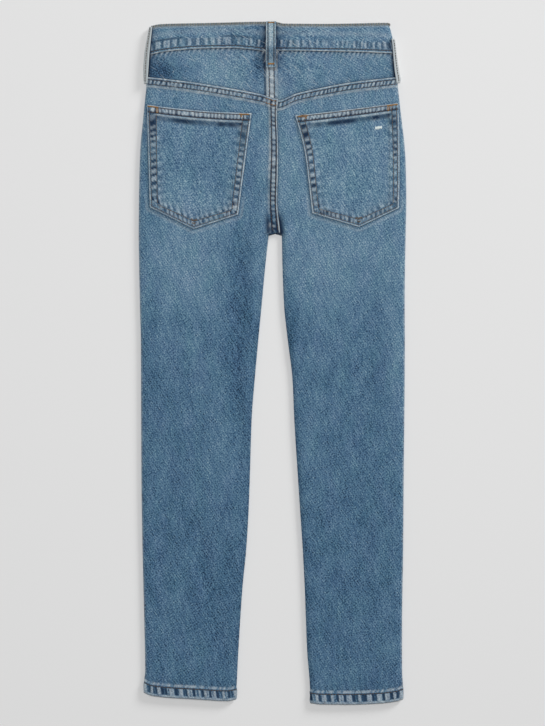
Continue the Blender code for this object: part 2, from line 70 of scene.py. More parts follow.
# Cloth and trims, as cut
CLOTH = 1.1
SEAM_GAP = 0.3
LAP_RIDGE = 1.0
LAP_WIDTH = 9.5
STEP_RUN = 1.6
BAND_OUT = 1.0
BAND_IN = 1.1
LOOP_THICK = 1.7
LOOP_WIDTH = 12.4
LOOP_LENGTH = 56.0
LOOP_START = 0.2
LOOP_RISE = 1.7
LOOP_ACROSS = -1.7
BUTTON_THICK = 1.6

# The lying garment
HALF_LENGTH = 416.2
LOFT = 6.0
EDGE_RUN = 12.0
EDGE_POWER = 2.15
UNDER_RUN = 4.0
SEAM_HEIGHT = 3.0
CLOSURE_LOFT = 2.5
CLOSURE_ACROSS = 3.0
CLOSURE_REACH = (30.0, 78.0)
CLOSURE_DOWN = (50.0, 90.0)
CROTCH_DOWN = 258.0
CROTCH_HEIGHT = 3.4
CROTCH_START = 214.0
# The front fork lies lower than the back's, and its underside shows below the crotch, painted dark as
# shade.
FORK_LOWER = 1.5
HEM_DEPTH = 13.0
HEM_RIDGE = 0.8
FRONT_HEM_LONGER = 0.8
FRONT_WAIST_DIP = 20.0
UNDERLAP_END = -17.0
OVERLAP_END = 17.0
FLY_LINE = 3.2
FLY_TUCK = 4.0
FLY_WIDTH = 32.0
FLY_LENGTH = 88.0
POCKET_GAP = 0.35
POCKET_BORDER = 11.2
POCKET_RIDGE = 0.7

# Outlines of the pieces. The seat seam, the yoke seam and the pocket mouths were read again, and
# lie up to 2.1 mm from the solids'. The rest are the solids' own.
SIDES = {
    "columns": ("down", "left", "right"),
    "rows": (
        (0, -146.6, 139.2),
        (12, -147.8, 143.4),
        (27, -149.1, 146.6),
        (40, -150.1, 147.7),
        (60, -151.5, 149.2),
        (80, -153.8, 152.7),
        (118, -157.5, 156.9),
        (150, -160.7, 160.8),
        (175, -161.8, 162.3),
        (217, -162.7, 163.0),
        (258, -163.0, 162.2),
        (300, -162.4, 161.4),
        (345, -161.5, 161.0),
        (390, -160.4, 161.2),
        (435, -160.2, 161.0),
        (555, -159.7, 159.8),
        (645, -158.3, 159.1),
        (735, -156.1, 157.8),
        (790, -155.1, 157.8),
        (804, -156.4, 158.6),
        (818, -156.9, 159.4),
        (830, -156.5, 158.4),
    ),
}
INSEAMS = {
    "columns": ("down", "left", "right"),
    "rows": (
        (258, -4.5, 11.3),
        (300, -9.1, 12.2),
        (345, -13.3, 14.1),
        (390, -17.6, 18.9),
        (435, -21.7, 24.3),
        (485, -25.5, 26.6),
        (555, -27.7, 31.0),
        (600, -29.4, 34.0),
        (645, -32.3, 37.0),
        (690, -36.7, 39.3),
        (767, -41.7, 42.3),
        (805, -43.6, 45.4),
        (830, -45.2, 46.4),
    ),
}
CENTRE_SEAM = {
    "columns": ("down", "left", "right"),
    "rows": (
        (30, -5.0, 5.4),
        (92, -4.2, 6.6),
        (112, -3.4, 5.2),
        (154, -2.8, 6.6),
        (184, -3.7, 6.4),
        (218, -4.4, 5.5),
        (258, -2.2, 9.3),
    ),
}
WAIST = {
    "columns": ("across", "top", "bottom"),
    "rows": (
        (-149, 5.6, 40.4),
        (-137, 3.3, 37.6),
        (-117, 2.5, 34.9),
        (-83, 1.8, 32.7),
        (-52, 1.2, 32.2),
        (-25, 0.7, 34.2),
        (-8, 0.5, 36.0),
        (5, 1.0, 35.7),
        (14, 2.8, 35.6),
        (52, 3.0, 36.0),
        (97, 2.4, 36.7),
        (139, 1.6, 38.4),
        (148, 2.5, 38.7),
    ),
}
YOKE_SEAM = {
    "columns": ("across", "left", "right"),
    "rows": (
        (-153, 67.6, 67.6),
        (-106, 73.0, 73.0),
        (-61, 80.0, 80.0),
        (-16, 88.3, 88.3),
        (7, 94.2, 96.2),
        (29, 93.8, 87.9),
        (52, 93.5, 82.5),
        (97, 93.5, 74.2),
        (152, 93.5, 67.7),
    ),
}
HEMS = {
    "columns": ("share", "left", "right"),
    "rows": (
        (0.0, 817.0, 825.3),
        (0.08, 820.6, 827.8),
        (0.26, 823.1, 830.2),
        (0.57, 825.2, 831.6),
        (0.90, 827.2, 831.2),
        (1.0, 825.6, 829.8),
    ),
}
LEFT_POCKET = {
    "columns": ("share", "outer_across", "outer_down", "inner_across", "inner_down"),
    "rows": (
        (0.0, -152.4, 101.5, -25.6, 111.8),
        (0.5, -151.0, 164.2, -34.0, 173.6),
        (1.0, -149.3, 226.1, -42.0, 235.1),
    ),
    "tip_share": 0.496,
    "tip_depth": 21.9,
    "mouth_sag": 2.0,
}
RIGHT_POCKET = {
    "columns": ("share", "outer_across", "outer_down", "inner_across", "inner_down"),
    "rows": (
        (0.0, 152.6, 99.3, 27.7, 114.7),
        (0.2, 153.6, 124.0, 35.0, 139.7),
        (0.4, 154.2, 149.0, 40.1, 162.8),
        (0.7, 154.4, 189.0, 44.4, 198.0),
        (1.0, 153.7, 227.2, 48.6, 233.4),
    ),
    "tip_share": 0.459,
    "tip_depth": 20.1,
    "mouth_sag": 0.6,
}
POCKETS = {"left": LEFT_POCKET, "right": RIGHT_POCKET}
SIDE_LOOPS = {
    "columns": ("share", "down_left", "out_left", "down_right", "out_right"),
    "rows": (
        (0.0, 6.5, 1.3, 21.0, 1.4),
        (0.12, 14.0, 1.9, 27.0, 1.5),
        (0.3, 26.5, 3.2, 37.0, 1.7),
        (0.5, 40.5, 4.3, 48.0, 2.3),
        (0.7, 54.0, 4.4, 58.5, 3.2),
        (0.88, 67.0, 3.2, 68.5, 3.7),
        (1.0, 74.8, 1.6, 74.3, 1.9),
    ),
}

# Soft troughs in the lying cloth. FOLDS are in the solids too, and CREASES are only here. A
# negative depth is a ridge.
FOLDS = {
    "columns": ("across_1", "down_1", "across_2", "down_2", "half_width", "depth"),
    "rows": (
        (-36, 262, -43, 400, 15, 1.3),
        (-43, 400, -40, 560, 12, 1.0),
        (-98, 600, -55, 790, 17, 1.1),
        (-132, 560, -136, 760, 14, 0.6),
        (117, 335, 98, 520, 22, 0.8),
        (96, 520, 112, 700, 20, 0.5),
        (70, 735, 92, 800, 14, 0.5),
        (-100, 125, -100, 215, 9, 0.5),
        (-19, 20, -24, 66, 10, 0.7),
        (19, 22, 24, 62, 10, 0.6),
        (-140, 48, -120, 60, 9, 0.5),
    ),
}
CREASES = {
    "columns": ("across_1", "down_1", "across_2", "down_2", "half_width", "depth"),
    "rows": (
        (-14, 246, -62, 268, 9, 0.35),
        (-12, 262, -48, 300, 7, -0.25),
        (20, 244, 70, 262, 9, 0.35),
        (24, 262, 62, 296, 8, -0.22),
        (-150, 262, -96, 276, 9, 0.22),
        (104, 258, 152, 270, 10, 0.2),
        (-140, 330, -84, 352, 10, 0.18),
        (36, 352, 92, 336, 12, 0.2),
        (-120, 418, -60, 430, 13, -0.2),
        (50, 430, 120, 446, 12, 0.2),
        (-112, 500, -66, 520, 10, 0.16),
        (64, 520, 128, 506, 11, -0.18),
        (-70, 610, -96, 700, 10, 0.24),
        (58, 620, 86, 690, 9, 0.22),
        (-140, 770, -110, 800, 8, 0.2),
        (118, 760, 140, 802, 8, 0.18),
    ),
}

# Stitching: how far in from an edge the two rows lie, and the pitch of a stitch
STITCH = {
    "columns": ("seam", "first_row", "second_row", "pitch"),
    "rows": (
        ("yoke", 2.8, 8.3, 3.4),
        ("seat", 2.1, 7.9, 3.4),
        ("seat_yoke", 4.4, 10.2, 3.4),
        ("left_outer", 2.4, 10.1, 2.9),
        ("left_inner", 2.3, 9.1, 2.9),
        ("left_foot", 2.4, 8.4, 2.9),
        ("left_mouth", 1.9, 8.3, 2.9),
        ("right_outer", 2.4, 7.6, 2.9),
        ("right_inner", 2.4, 9.2, 2.9),
        ("right_foot", 2.4, 8.3, 2.9),
        ("right_mouth", 1.5, 7.4, 2.9),
        ("hem", 12.2, 12.2, 3.6),
        ("band", 3.0, 1.0, 3.2),
        ("loop", 2.4, 9.7, 3.0),
    ),
}
ROWS = {row[0]: row[1:3] for row in STITCH["rows"]}
PITCH = {row[0]: row[3] for row in STITCH["rows"]}
SEWN_STEP = 0.7  # between the points of a line that is sewn
THREAD_RADIUS = 0.42
THREAD_SUNK = 0.06
GROOVE_DEPTH = 0.28
GROOVE_HALF = 1.0

OUTWARD = {"left": -1.0, "right": 1.0}
WAIST_MIDDLE = 20.0
BEND_ROUNDS = 4  # times that a bent row is read again at the place that it has bent to


def curve_of(table, column):
    """A smooth curve through one column of a table, which never overshoots its points."""
    index = table["columns"].index(column)
    where = np.array([row[0] for row in table["rows"]], float)
    value = np.array([row[index] for row in table["rows"]], float)
    run = np.diff(where)
    slope = np.diff(value) / run
    tangent = np.concatenate([slope[:1], np.zeros(len(slope) - 1), slope[-1:]])
    for k in range(1, len(slope)):
        if slope[k - 1] * slope[k] > 0:
            tangent[k] = 2.0 / (1.0 / slope[k - 1] + 1.0 / slope[k])

    def at(place):
        place = np.clip(place, where[0], where[-1])
        k = np.clip(np.searchsorted(where, place, side="right") - 1, 0, len(run) - 1)
        t = (place - where[k]) / run[k]
        from_start = value[k] * (1 + 2 * t) * (1 - t) ** 2 + tangent[k] * run[k] * t * (1 - t) ** 2
        from_end = value[k + 1] * t * t * (3 - 2 * t) - tangent[k + 1] * run[k] * t * t * (1 - t)
        return from_start + from_end

    return at


SIDE = {name: curve_of(SIDES, name) for name in ("left", "right")}
INSEAM = {name: curve_of(INSEAMS, name) for name in ("left", "right")}
CENTRE = {name: curve_of(CENTRE_SEAM, name) for name in ("left", "right")}
YOKE_LINE = {name: curve_of(YOKE_SEAM, name) for name in ("left", "right")}
HEM_LINE = {name: curve_of(HEMS, name) for name in ("left", "right")}
WAIST_TOP = curve_of(WAIST, "top")
WAIST_BOTTOM = curve_of(WAIST, "bottom")


def ramp(value, start, end):
    """0 before start, 1 after end, and smooth between."""
    t = np.clip((value - start) / (end - start), 0.0, 1.0)
    return t * t * (3 - 2 * t)


def fall(value, start, end):
    """1 before start, 0 after end, and smooth between."""
    return 1.0 - ramp(value, start, end)


def unit(value):
    """The value, held between 0 and 1."""
    return np.clip(value, 0, 1)


def fading(distance, reach):
    """1 at an edge, dying away with the distance from it."""
    return np.exp(-np.clip(distance, 0, 60) / reach)


def rolled(distance, radius):
    """0 at an edge and 1 from a radius in, round as a folded edge is."""
    return np.sqrt(unit(distance / radius))


def bump(value, centre, half):
    """1 at the centre, falling smoothly to 0 at half a width on each side."""
    t = np.clip(np.abs(value - centre) / half, 0.0, 1.0)
    return (1 - t * t) ** 2


def rise(inset, run):
    """The share of full height that the skin has at this distance in from an edge."""
    t = np.clip(inset / run, 0.0, 1.0)
    return (1.0 - (1.0 - t) ** EDGE_POWER) ** (1.0 / EDGE_POWER)


def wobble(seed, along, step):
    """Smooth, seeded, uneven variation from -1 to 1 along a seam."""
    values = np.random.default_rng(seed).uniform(-1, 1, 1024)
    t = np.asarray(along) / step + 512.0
    k = np.floor(t).astype(int)
    f = t - k
    f = f * f * (3 - 2 * f)
    return values[k % 1024] * (1 - f) + values[(k + 1) % 1024] * f


def roping(seed, along, aside, pitch, lean):
    """The puckers that washing leaves along a double-stitched seam, from -1 to 1."""
    phase = (along + lean * aside) / pitch + 0.42 * wobble(seed, along, 2.2 * pitch)
    strength = 0.66 + 0.34 * wobble(seed + 1, along, 1.7 * pitch)
    wave = np.sin(2 * np.pi * phase) + 0.35 * wobble(seed + 2, along + lean * aside, 0.6 * pitch)
    return strength * np.tanh(1.8 * wave)


def fold_depth(across, down):
    """How far the soft troughs and creases lower the skin."""
    depth = np.zeros(np.broadcast(across, down).shape)
    for x1, d1, x2, d2, half_width, deepest in FOLDS["rows"] + CREASES["rows"]:
        run = (x2 - x1, d2 - d1)
        length = math.hypot(*run)
        share = ((across - x1) * run[0] + (down - d1) * run[1]) / length**2
        aside = np.abs((across - x1) * run[1] - (down - d1) * run[0]) / length
        ends = ramp(share, -0.12, 0.2) * fall(share, 0.8, 1.12)
        depth += deepest * ends * bump(aside, 0.0, half_width)
    return depth


def loft_at(across, down):
    """The height of the skin away from its edges."""
    lift = fall(np.abs(across - CLOSURE_ACROSS), *CLOSURE_REACH) * fall(down, *CLOSURE_DOWN)
    return LOFT + CLOSURE_LOFT * lift - fold_depth(across, down)


def seat_height(across, down, side):
    """The back skin above the crotch, one sheet from side to side."""
    inset = np.minimum(across - SIDE["left"](down), SIDE["right"](down) - across)
    loft = loft_at(across, down)
    height = SEAM_HEIGHT + (loft - SEAM_HEIGHT) * rise(inset, EDGE_RUN)
    from_strip = np.maximum(
        CENTRE["left"](down) - across, across - CENTRE["right"](down) - SEAM_GAP
    )
    valley = CROTCH_HEIGHT + (loft - CROTCH_HEIGHT) * rise(from_strip, EDGE_RUN)
    dip = ramp(down, CROTCH_START, CROTCH_DOWN - 10.0)
    return height + (np.minimum(valley, height) - height) * dip


def leg_height(across, down, side):
    """The back skin of one leg, which falls away at the side and at the inseam."""
    from_side = np.abs(across - SIDE[side](down))
    from_inseam = np.abs(across - INSEAM[side](down))
    loft = loft_at(across, down)
    return SEAM_HEIGHT + (loft - SEAM_HEIGHT) * rise(np.minimum(from_side, from_inseam), EDGE_RUN)


def skin(across, down, side, leg=False):
    """(points, normals) of the back skin."""
    across, down = np.broadcast_arrays(np.asarray(across, float), np.asarray(down, float))
    height = leg_height if leg else seat_height
    reach = 0.15
    slope_x = height(across + reach, down, side) - height(across - reach, down, side)
    slope_d = height(across, down + reach, side) - height(across, down - reach, side)
    normals = np.stack([-slope_x, slope_d, np.full(across.shape, 2 * reach)], -1)
    normals /= np.linalg.norm(normals, axis=-1, keepdims=True)
    points = np.stack([across, HALF_LENGTH - down, height(across, down, side)], -1)
    return points, normals


def steps(start, *stretches):
    """Places in equal steps over each stretch, given as (end, step)."""
    places = [start]
    for end, step in stretches:
        count = max(1, round(abs(end - places[-1]) / step))
        places += list(np.linspace(places[-1], end, count + 1)[1:])
    return np.array(places)


# Dye: the large, soft differences in how worn the cloth is, and two patches of painted shade
TONES = {
    "columns": ("across", "down", "half_across", "half_down", "turn", "tone"),
    "rows": (
        (-108, 280, 34, 80, 0, 0.07),
        (58, 290, 46, 70, 0, 0.07),
        (120, 380, 26, 70, 0, -0.06),
        (-40, 300, 15, 70, 4, -0.16),
        (-42, 430, 14, 120, 0, -0.10),
        (-64, 520, 20, 80, 0, 0.04),
        (20, 370, 8, 60, 4, -0.08),
        (46, 520, 12, 70, 0, 0.04),
        (-80, 690, 22, 110, -12, -0.05),
        (-150, 330, 10, 150, 0, -0.05),
        # These two are painted shade beside the centre belt loop.
        (-12, 34, 7, 30, 0, -0.18),
        (11, 40, 7, 26, 0, -0.14),
        (-138, 62, 15, 13, 0, -0.24),
        (-122, 59, 21, 12, 10, -0.26),
        (-60, 64, 40, 16, 6, 0.11),
        (-20, 58, 10, 24, 0, -0.12),
        (-118, 50, 24, 5, -8, 0.10),
        (-142, 46, 12, 16, 0, -0.10),
        (0, 164, 26, 30, 0, 0.04),
        (60, 150, 60, 50, 0, 0.03),
        (80, 288, 60, 26, 0, 0.04),
        (-90, 170, 50, 50, 0, -0.02),
        (80, 56, 60, 16, 0, -0.03),
        (21, 180, 11, 60, 0, 0.06),
        (-92, 540, 55, 55, 0, 0.035),
        (95, 425, 60, 50, 0, 0.02),
        (-80, 58, 55, 16, 0, 0.02),
        (-28, 332, 10, 50, 3, -0.08),
        (26, 350, 8, 70, 3, -0.07),
        (150, 400, 13, 95, 0, 0.11),
        (-22, 180, 14, 50, 0, -0.05),
    ),
}
LENGTH_TONE = {
    "columns": ("down", "tone"),
    "rows": (
        (0, 0.04),
        (60, 0.05),
        (200, 0.03),
        (300, 0.03),
        (390, -0.07),
        (520, -0.10),
        (700, -0.12),
        (832, -0.10),
    ),
}
TONE_DOWN = curve_of(LENGTH_TONE, "tone")


def fade_at(across, down):
    """How much paler or darker than mid blue the dye is here."""
    tone = TONE_DOWN(down) + np.zeros(np.broadcast(across, down).shape)
    for x, d, half_x, half_d, turn, change in TONES["rows"]:
        cos, sin = math.cos(math.radians(turn)), math.sin(math.radians(turn))
        u = ((across - x) * cos + (down - d) * sin) / half_x
        v = ((down - d) * cos - (across - x) * sin) / half_d
        tone = tone + change * np.exp(-(u * u + v * v) * 0.9)
    return tone


class Relief:
    """Adds up how far the outer face stands off the skin, how its dye has worn, and where shade is
    painted on it.
    """

    def __init__(self, across, down):
        shape = np.broadcast(across, down).shape
        self.out = np.zeros(shape)
        self.wear = np.zeros(shape)
        self.deep_and_shade = np.zeros(shape)

    def row(self, distance, inside=1.0, depth=0.85):
        """One row of stitches draws the cloth down into a fine groove, and darkens it there by depth:
        partly unworn dye, partly painted shade in the groove.
        """
        groove = bump(distance, 0.0, GROOVE_HALF) * inside
        self.out -= GROOVE_DEPTH * groove
        self.deep_and_shade += depth * groove

    def lap(self, seed, distance, along, width, rows, pitch, lean, inside=1.0, rubbed=0.0, rim=0.56):
        """A folded edge lapped over its neighbour: rolled rim, two rows and puckers between."""
        on = fall(distance, width, width + STEP_RUN) * inside
        roll = 0.55 + 0.45 * rolled(distance, 1.1)
        rope = roping(seed, along, distance, pitch, lean)
        rope = np.tanh(1.6 * (rope + 0.3 * roping(seed + 12, along, distance, 0.5 * pitch, lean)))
        between = ramp(distance, rows[0] - 0.2, rows[0] + 1.3) * inside
        between = between * fall(distance, rows[1] - 1.3, rows[1] + 0.2)
        self.out += LAP_RIDGE * on * roll + 0.32 * rope * between
        for place in rows:
            self.row(distance - place, inside, 0.95 if place == rows[0] else 0.70)
        self.wear += between * (rubbed + 0.56 * unit(rope))
        self.deep_and_shade += 0.80 * between * unit(-rope)
        fleck = wobble(seed + 40, along + 0.8 * distance, 2.4) * on
        self.wear += 0.26 * unit(fleck)
        self.deep_and_shade += 0.30 * unit(-fleck)
        at_rim = fall(distance, 0.7, 1.6) * inside
        self.wear += at_rim * rim * (1.0 + 0.45 * wobble(seed + 7, along, 3.5))
        foot = bump(distance, width + 1.0, 2.0) * inside
        self.wear += foot * (0.44 + 0.26 * wobble(seed + 8, along, 4.0))
        self.deep_and_shade += 0.20 * bump(distance, width + 3.6, 2.0) * inside
        draw = np.exp(-np.clip(distance - width, 0, 40) / 5.0) * (distance > width) * inside
        pull = roping(seed + 3, along, 0, 1.7 * pitch, 0)
        self.out += 0.10 * draw * pull
        self.wear += 0.14 * draw * unit(pull)

    def shadow(self, distance, half, amount):
        """Painted shadow beside a thick seam: the dye is darkened, fading with the distance from it.
        """
        self.deep_and_shade += amount * fading(distance, half) * (distance > -0.5)


def put(name, data):
    """A new object in the scene."""
    made = bpy.data.objects.new(name, data)
    bpy.context.scene.collection.objects.link(made)
    return made


def shell(name, points, normals, out, inward, dye):
    """A closed sheet of cloth with its dye numbers, as an object. Its lower face is the wrong side
    of the cloth, and where shade is 1 that face is painted dark, as painted shade."""
    rows, columns = points.shape[:2]
    outer = points + normals * np.asarray(out)[..., None]
    inner = points - normals * np.asarray(inward)[..., None]
    corners = np.concatenate([outer.reshape(-1, 3), inner.reshape(-1, 3)]) * MM
    index = np.arange(rows * columns).reshape(rows, columns)
    quads = np.stack([index[:-1, :-1], index[1:, :-1], index[1:, 1:], index[:-1, 1:]], -1)
    quads = quads.reshape(-1, 4)
    rim = np.concatenate([index[0], index[1:, -1], index[-1, -2::-1], index[-2:0:-1, 0]])
    ahead = np.roll(rim, -1)
    under = rows * columns
    sides = np.stack([rim, ahead, ahead + under, rim + under], -1)
    faces = np.concatenate([quads, quads[:, ::-1] + under, sides])
    mesh = bpy.data.meshes.new(name)
    mesh.vertices.add(len(corners))
    mesh.vertices.foreach_set("co", corners.ravel().astype(np.float32))
    mesh.loops.add(faces.size)
    mesh.loops.foreach_set("vertex_index", faces.ravel().astype(np.int32))
    mesh.polygons.add(len(faces))
    mesh.polygons.foreach_set("loop_start", np.arange(0, faces.size, 4, dtype=np.int32))
    mesh.update(calc_edges=True)
    face_out(mesh)
    shade = np.broadcast_to(dye.get("shade", 0.0), (rows, columns)).ravel()
    for key in DYE_KEYS:
        values = np.broadcast_to(dye.get(key, 0.0), (rows, columns)).ravel()
        # Painted shade: where shade is set, the wrong side is dyed dark instead of pale.
        below = {"inside": 1.0 - shade, "deep_and_shade": 2.0 * shade, "wear": 0.0 * shade}.get(key, values)
        layer = mesh.attributes.new(key, "FLOAT", "POINT")
        layer.data.foreach_set("value", np.concatenate([values, below]).astype(np.float32))
    mesh.shade_smooth()
    mesh.set_sharp_from_angle(angle=math.radians(SHARP_FROM))
    return put(name, mesh)


def face_out(mesh):
    """Turns every face of a closed mesh outwards, by the sign of its volume."""
    mesh.calc_loop_triangles()
    count = len(mesh.loop_triangles)
    corners = np.empty(count * 3, np.int32)
    mesh.loop_triangles.foreach_get("vertices", corners)
    places = np.empty(len(mesh.vertices) * 3, np.float32)
    mesh.vertices.foreach_get("co", places)
    a, b, c = places.reshape(-1, 3)[corners.reshape(-1, 3)].transpose(1, 0, 2).astype(float)
    if np.einsum("ij,ij->i", a, np.cross(b, c)).sum() < 0:
        mesh.flip_normals()


def dye_of(across, down, relief, inside=0.0, tone=0.0):
    """What a piece gives the dye, beside the turn of its cut."""
    return {
        "fade": fade_at(across, down) + tone,
        "wear": np.clip(relief.wear, 0, 1.2),
        "deep_and_shade": np.clip(relief.deep_and_shade, 0, 2.0),
        "inside": inside,
    }


def dress(piece, node):
    """Hangs a piece on the root body and hides the solid that it stands for."""
    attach(piece, "root")
    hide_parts(node)


# Yokes and waistband are cut turned from the legs' grain
CROSS_CUT = math.radians(-24.0)

# Back legs
EDGE_INSETS = steps(0.0, (1.2, 0.3), (4.0, 0.7), (12.0, 1.4))
STRIP_COLUMNS = 24
STRIP_REACH = 12.2  # the finer columns beside a seam or an inseam
MIDDLE_COLUMNS = 108
YOKE_START = 82.0  # first guesses of where a bent row lies
HEM_START = 824.0


def back_columns(side, down, leg):
    """The across places of the back rows at each down, from the side to the middle."""
    out = OUTWARD[side]
    down = np.atleast_1d(down)[:, None]
    edge = SIDE[side](down)
    share = np.linspace(0.0, 1.0, STRIP_COLUMNS + 1)[None, 1:]
    if leg:
        end = INSEAM[side](down)
        rim = end + out * STRIP_REACH
        strip = end + out * STRIP_REACH * (1.0 - share) ** 1.5
    elif side == "left":
        end = CENTRE["right"](down)
        rim = CENTRE["left"](down) - 10.0
        strip = rim + (end - rim) * share
    else:
        end = CENTRE["right"](down) + SEAM_GAP
        rim = end + STRIP_REACH
        strip = rim + (end - rim) * share
    start = edge - out * EDGE_RUN
    middle = np.linspace(0.0, 1.0, MIDDLE_COLUMNS + 1)[None, 1:]
    near = edge - out * EDGE_INSETS[None, :]
    return np.concatenate([near, start + (rim - start) * middle, strip], 1)


def hem_share(across, down, side):
    """How far across a leg this is, from 0 at its side to 1 at its inseam."""
    edge, end = SIDE[side](down), INSEAM[side](down)
    return np.clip((across - edge) / (end - edge), 0.0, 1.0)


def back_relief(side, across, down, leg):
    """Lapped yoke seam, centre seam, hem and edges of a back leg, with painted shade beside the seat
    seam and at the crotch.
    """
    r = Relief(across, down)
    seed = 11 if side == "left" else 41
    below = down - YOKE_LINE[side](across)
    if not leg:
        r.lap(seed, below, across, YOKE_LAP, ROWS["yoke"], 4.9, 0.3)
        if side == "left":
            seat_lap(r, across, down, below > LAP_WIDTH * 0.2, False)
        else:
            # Painted shadow beside the lapped edge of the seat seam.
            r.shadow(across - CENTRE["right"](down) - SEAM_GAP, 1.6, 0.55)
        beside = np.maximum(CENTRE["left"](down) - across, across - CENTRE["right"](down))
        # Painted shade: the cloth beside the seat strip at the crotch is dyed dark, and the strip's
        # end too.
        crotch_shade = ramp(down, 228, 246) * (beside > 0.2) * fall(beside, 1.0, 9.0)
        r.deep_and_shade += 0.95 * crotch_shade
        r.deep_and_shade += 0.45 * ramp(down, 236, 254) * (beside <= 0.2)
    else:
        share = hem_share(across, down, side)
        up = HEM_LINE[side](share) - down
        hem_band(r, seed + 20, across, up)
        # Painted shade on the legs, near the crotch.
        r.deep_and_shade += 0.8 * bump(down, 255.0, 12.0) * bump(across, 3.5, 17.0)
    if not leg:
        beside_pocket(r, side, across, down)
    inset = np.abs(across - SIDE[side](down))
    r.wear += 0.25 * fall(inset, 0.8, 2.6) * (0.7 + 0.3 * wobble(seed + 30, down, 11.0))
    if leg:
        inner = np.abs(across - INSEAM[side](down))
        r.deep_and_shade += 0.20 * fall(inner, 1.0, 7.0)
    return r


def beside_pocket(r, side, across, down):
    """Painted shadow on the cloth right outside a pocket's edge, and a paler band of wear a little
    way outside its foot.
    """
    turns = np.linspace(0.0, 1.0, 40)
    sizes = POCKETS[side]
    lines = [(turns * 0, turns), (turns * 0 + 1, turns), (turns, turns * 0)]
    tip = sizes["tip_share"]
    lines += [(turns * tip, turns * 0 + 1), (tip + turns * (1 - tip), turns * 0 + 1)]
    nearest = np.full(across.shape, 99.0)
    for u, v in lines:
        x, d = pocket_place(side, u, v)
        for k in range(len(turns) - 1):
            run = np.array([x[k + 1] - x[k], d[k + 1] - d[k]])
            share = ((across - x[k]) * run[0] + (down - d[k]) * run[1]) / (run @ run)
            share = np.clip(share, 0.0, 1.0)
            away = np.hypot(across - x[k] - share * run[0], down - d[k] - share * run[1])
            nearest = np.minimum(nearest, away)
    # Painted shadow along the pocket's edge.
    r.deep_and_shade += 0.52 * fall(nearest, 0.3, 2.0)
    below = unit((down - 205.0) / 20.0)
    r.wear += 0.22 * below * bump(nearest, 4.2, 2.4)


# Widths of the laps. The strip of the seat seam narrows and widens, and is worked out as if it were
# SEAT_STRIP wide.
YOKE_LAP = 9.9
SEAT_LAP = 9.2
SEAT_STRIP = 9.9
YOKE_SEAT_LAP = 12.0


def seat_lap(r, across, down, inside, above_yoke):
    """The felled centre seam, on the left pieces that lap over the right."""
    from_edge = CENTRE["right"](down) - across
    if above_yoke:
        rows = ROWS["seat_yoke"]
        r.lap(75, from_edge, down, YOKE_SEAT_LAP, rows, 6.0, 0.2, 1.0, 0.40, 0.12)
        r.wear += 0.26 * bump(from_edge, 2.2, 1.8) + 0.42 * bump(from_edge, 12.2, 1.9)
        r.deep_and_shade += 0.60 * bump(from_edge, 15.4, 2.2)
        return
    width = CENTRE["right"](down) - CENTRE["left"](down)
    scaled = from_edge * SEAT_STRIP / width
    worn = 0.06 * ramp(down, 140.0, 165.0) - 0.3 * ramp(down, 205.0, 235.0)
    r.lap(71, scaled, down, SEAT_LAP, ROWS["seat"], 5.2, 0.2, inside, worn, 0.46)
    for place in ROWS["seat"]:
        r.deep_and_shade += 0.75 * bump(scaled, place, 1.6) * inside
        r.wear -= 0.25 * bump(scaled, place, 1.6) * inside
    r.wear -= 0.34 * bump(scaled, SEAT_LAP + 1.0, 2.0) * ramp(down, 180.0, 210.0)
    r.deep_and_shade += 0.25 * bump(scaled, 5.4, 1.2) * ramp(down, 104.0, 120.0) * inside
    # Painted shade on the strip near the crotch, beside its middle.
    beside_middle = (np.abs(scaled - 5.0) > 1.4) * (scaled > 1.0) * (scaled < SEAT_LAP)
    r.deep_and_shade += 0.85 * ramp(down, 226.0, 250.0) * beside_middle


def hem_band(r, seed, along, up):
    """The turned hem: one row above a thick, roped band."""
    on = fall(up, HEM_DEPTH, HEM_DEPTH + STEP_RUN)
    rope = roping(seed, along, up, 10.5, 0.10)
    fine = roping(seed + 5, along, up, 4.6, 0.14)
    mix = np.tanh(2.6 * (rope + 0.7 * fine))
    band = ramp(up, 2.3, 4.2) * fall(up, 10.8, 11.8)
    r.out += HEM_RIDGE * on * (0.55 + 0.45 * rolled(up, 1.2))
    r.out += 0.42 * mix * ramp(up, 0.2, 2.0) * fall(up, 10.6, 11.8)
    r.row(up - ROWS["hem"][0])
    r.wear += band * unit(mix) * 0.50
    r.deep_and_shade += band * unit(-mix) * 0.85
    broken = unit(0.5 + 0.75 * wobble(seed + 9, along - 0.6 * up, 2.6))
    ledge = bump(up, 15.0, 2.3) * broken
    r.wear += 0.56 * ledge
    r.out += 0.15 * ledge
    r.deep_and_shade += 0.22 * bump(up, 13.6, 0.9)
    r.wear += 0.55 * bump(up, 1.9, 1.5) * (0.8 + 0.3 * wobble(seed + 10, along, 4.0))
    r.wear += 0.25 * fall(up, 0.6, 2.0)
    # Painted shade along the hem's lower edge.
    r.deep_and_shade += 0.50 * fall(up, 0.3, 1.2)
    draw = fading(up - 17.0, 5.0) * ramp(up, 16.0, 17.4)
    pull = roping(seed + 3, along, up, 7.0, 0.2)
    r.out += 0.14 * draw * pull
    r.deep_and_shade += 0.40 * draw * unit(0.45 - pull)


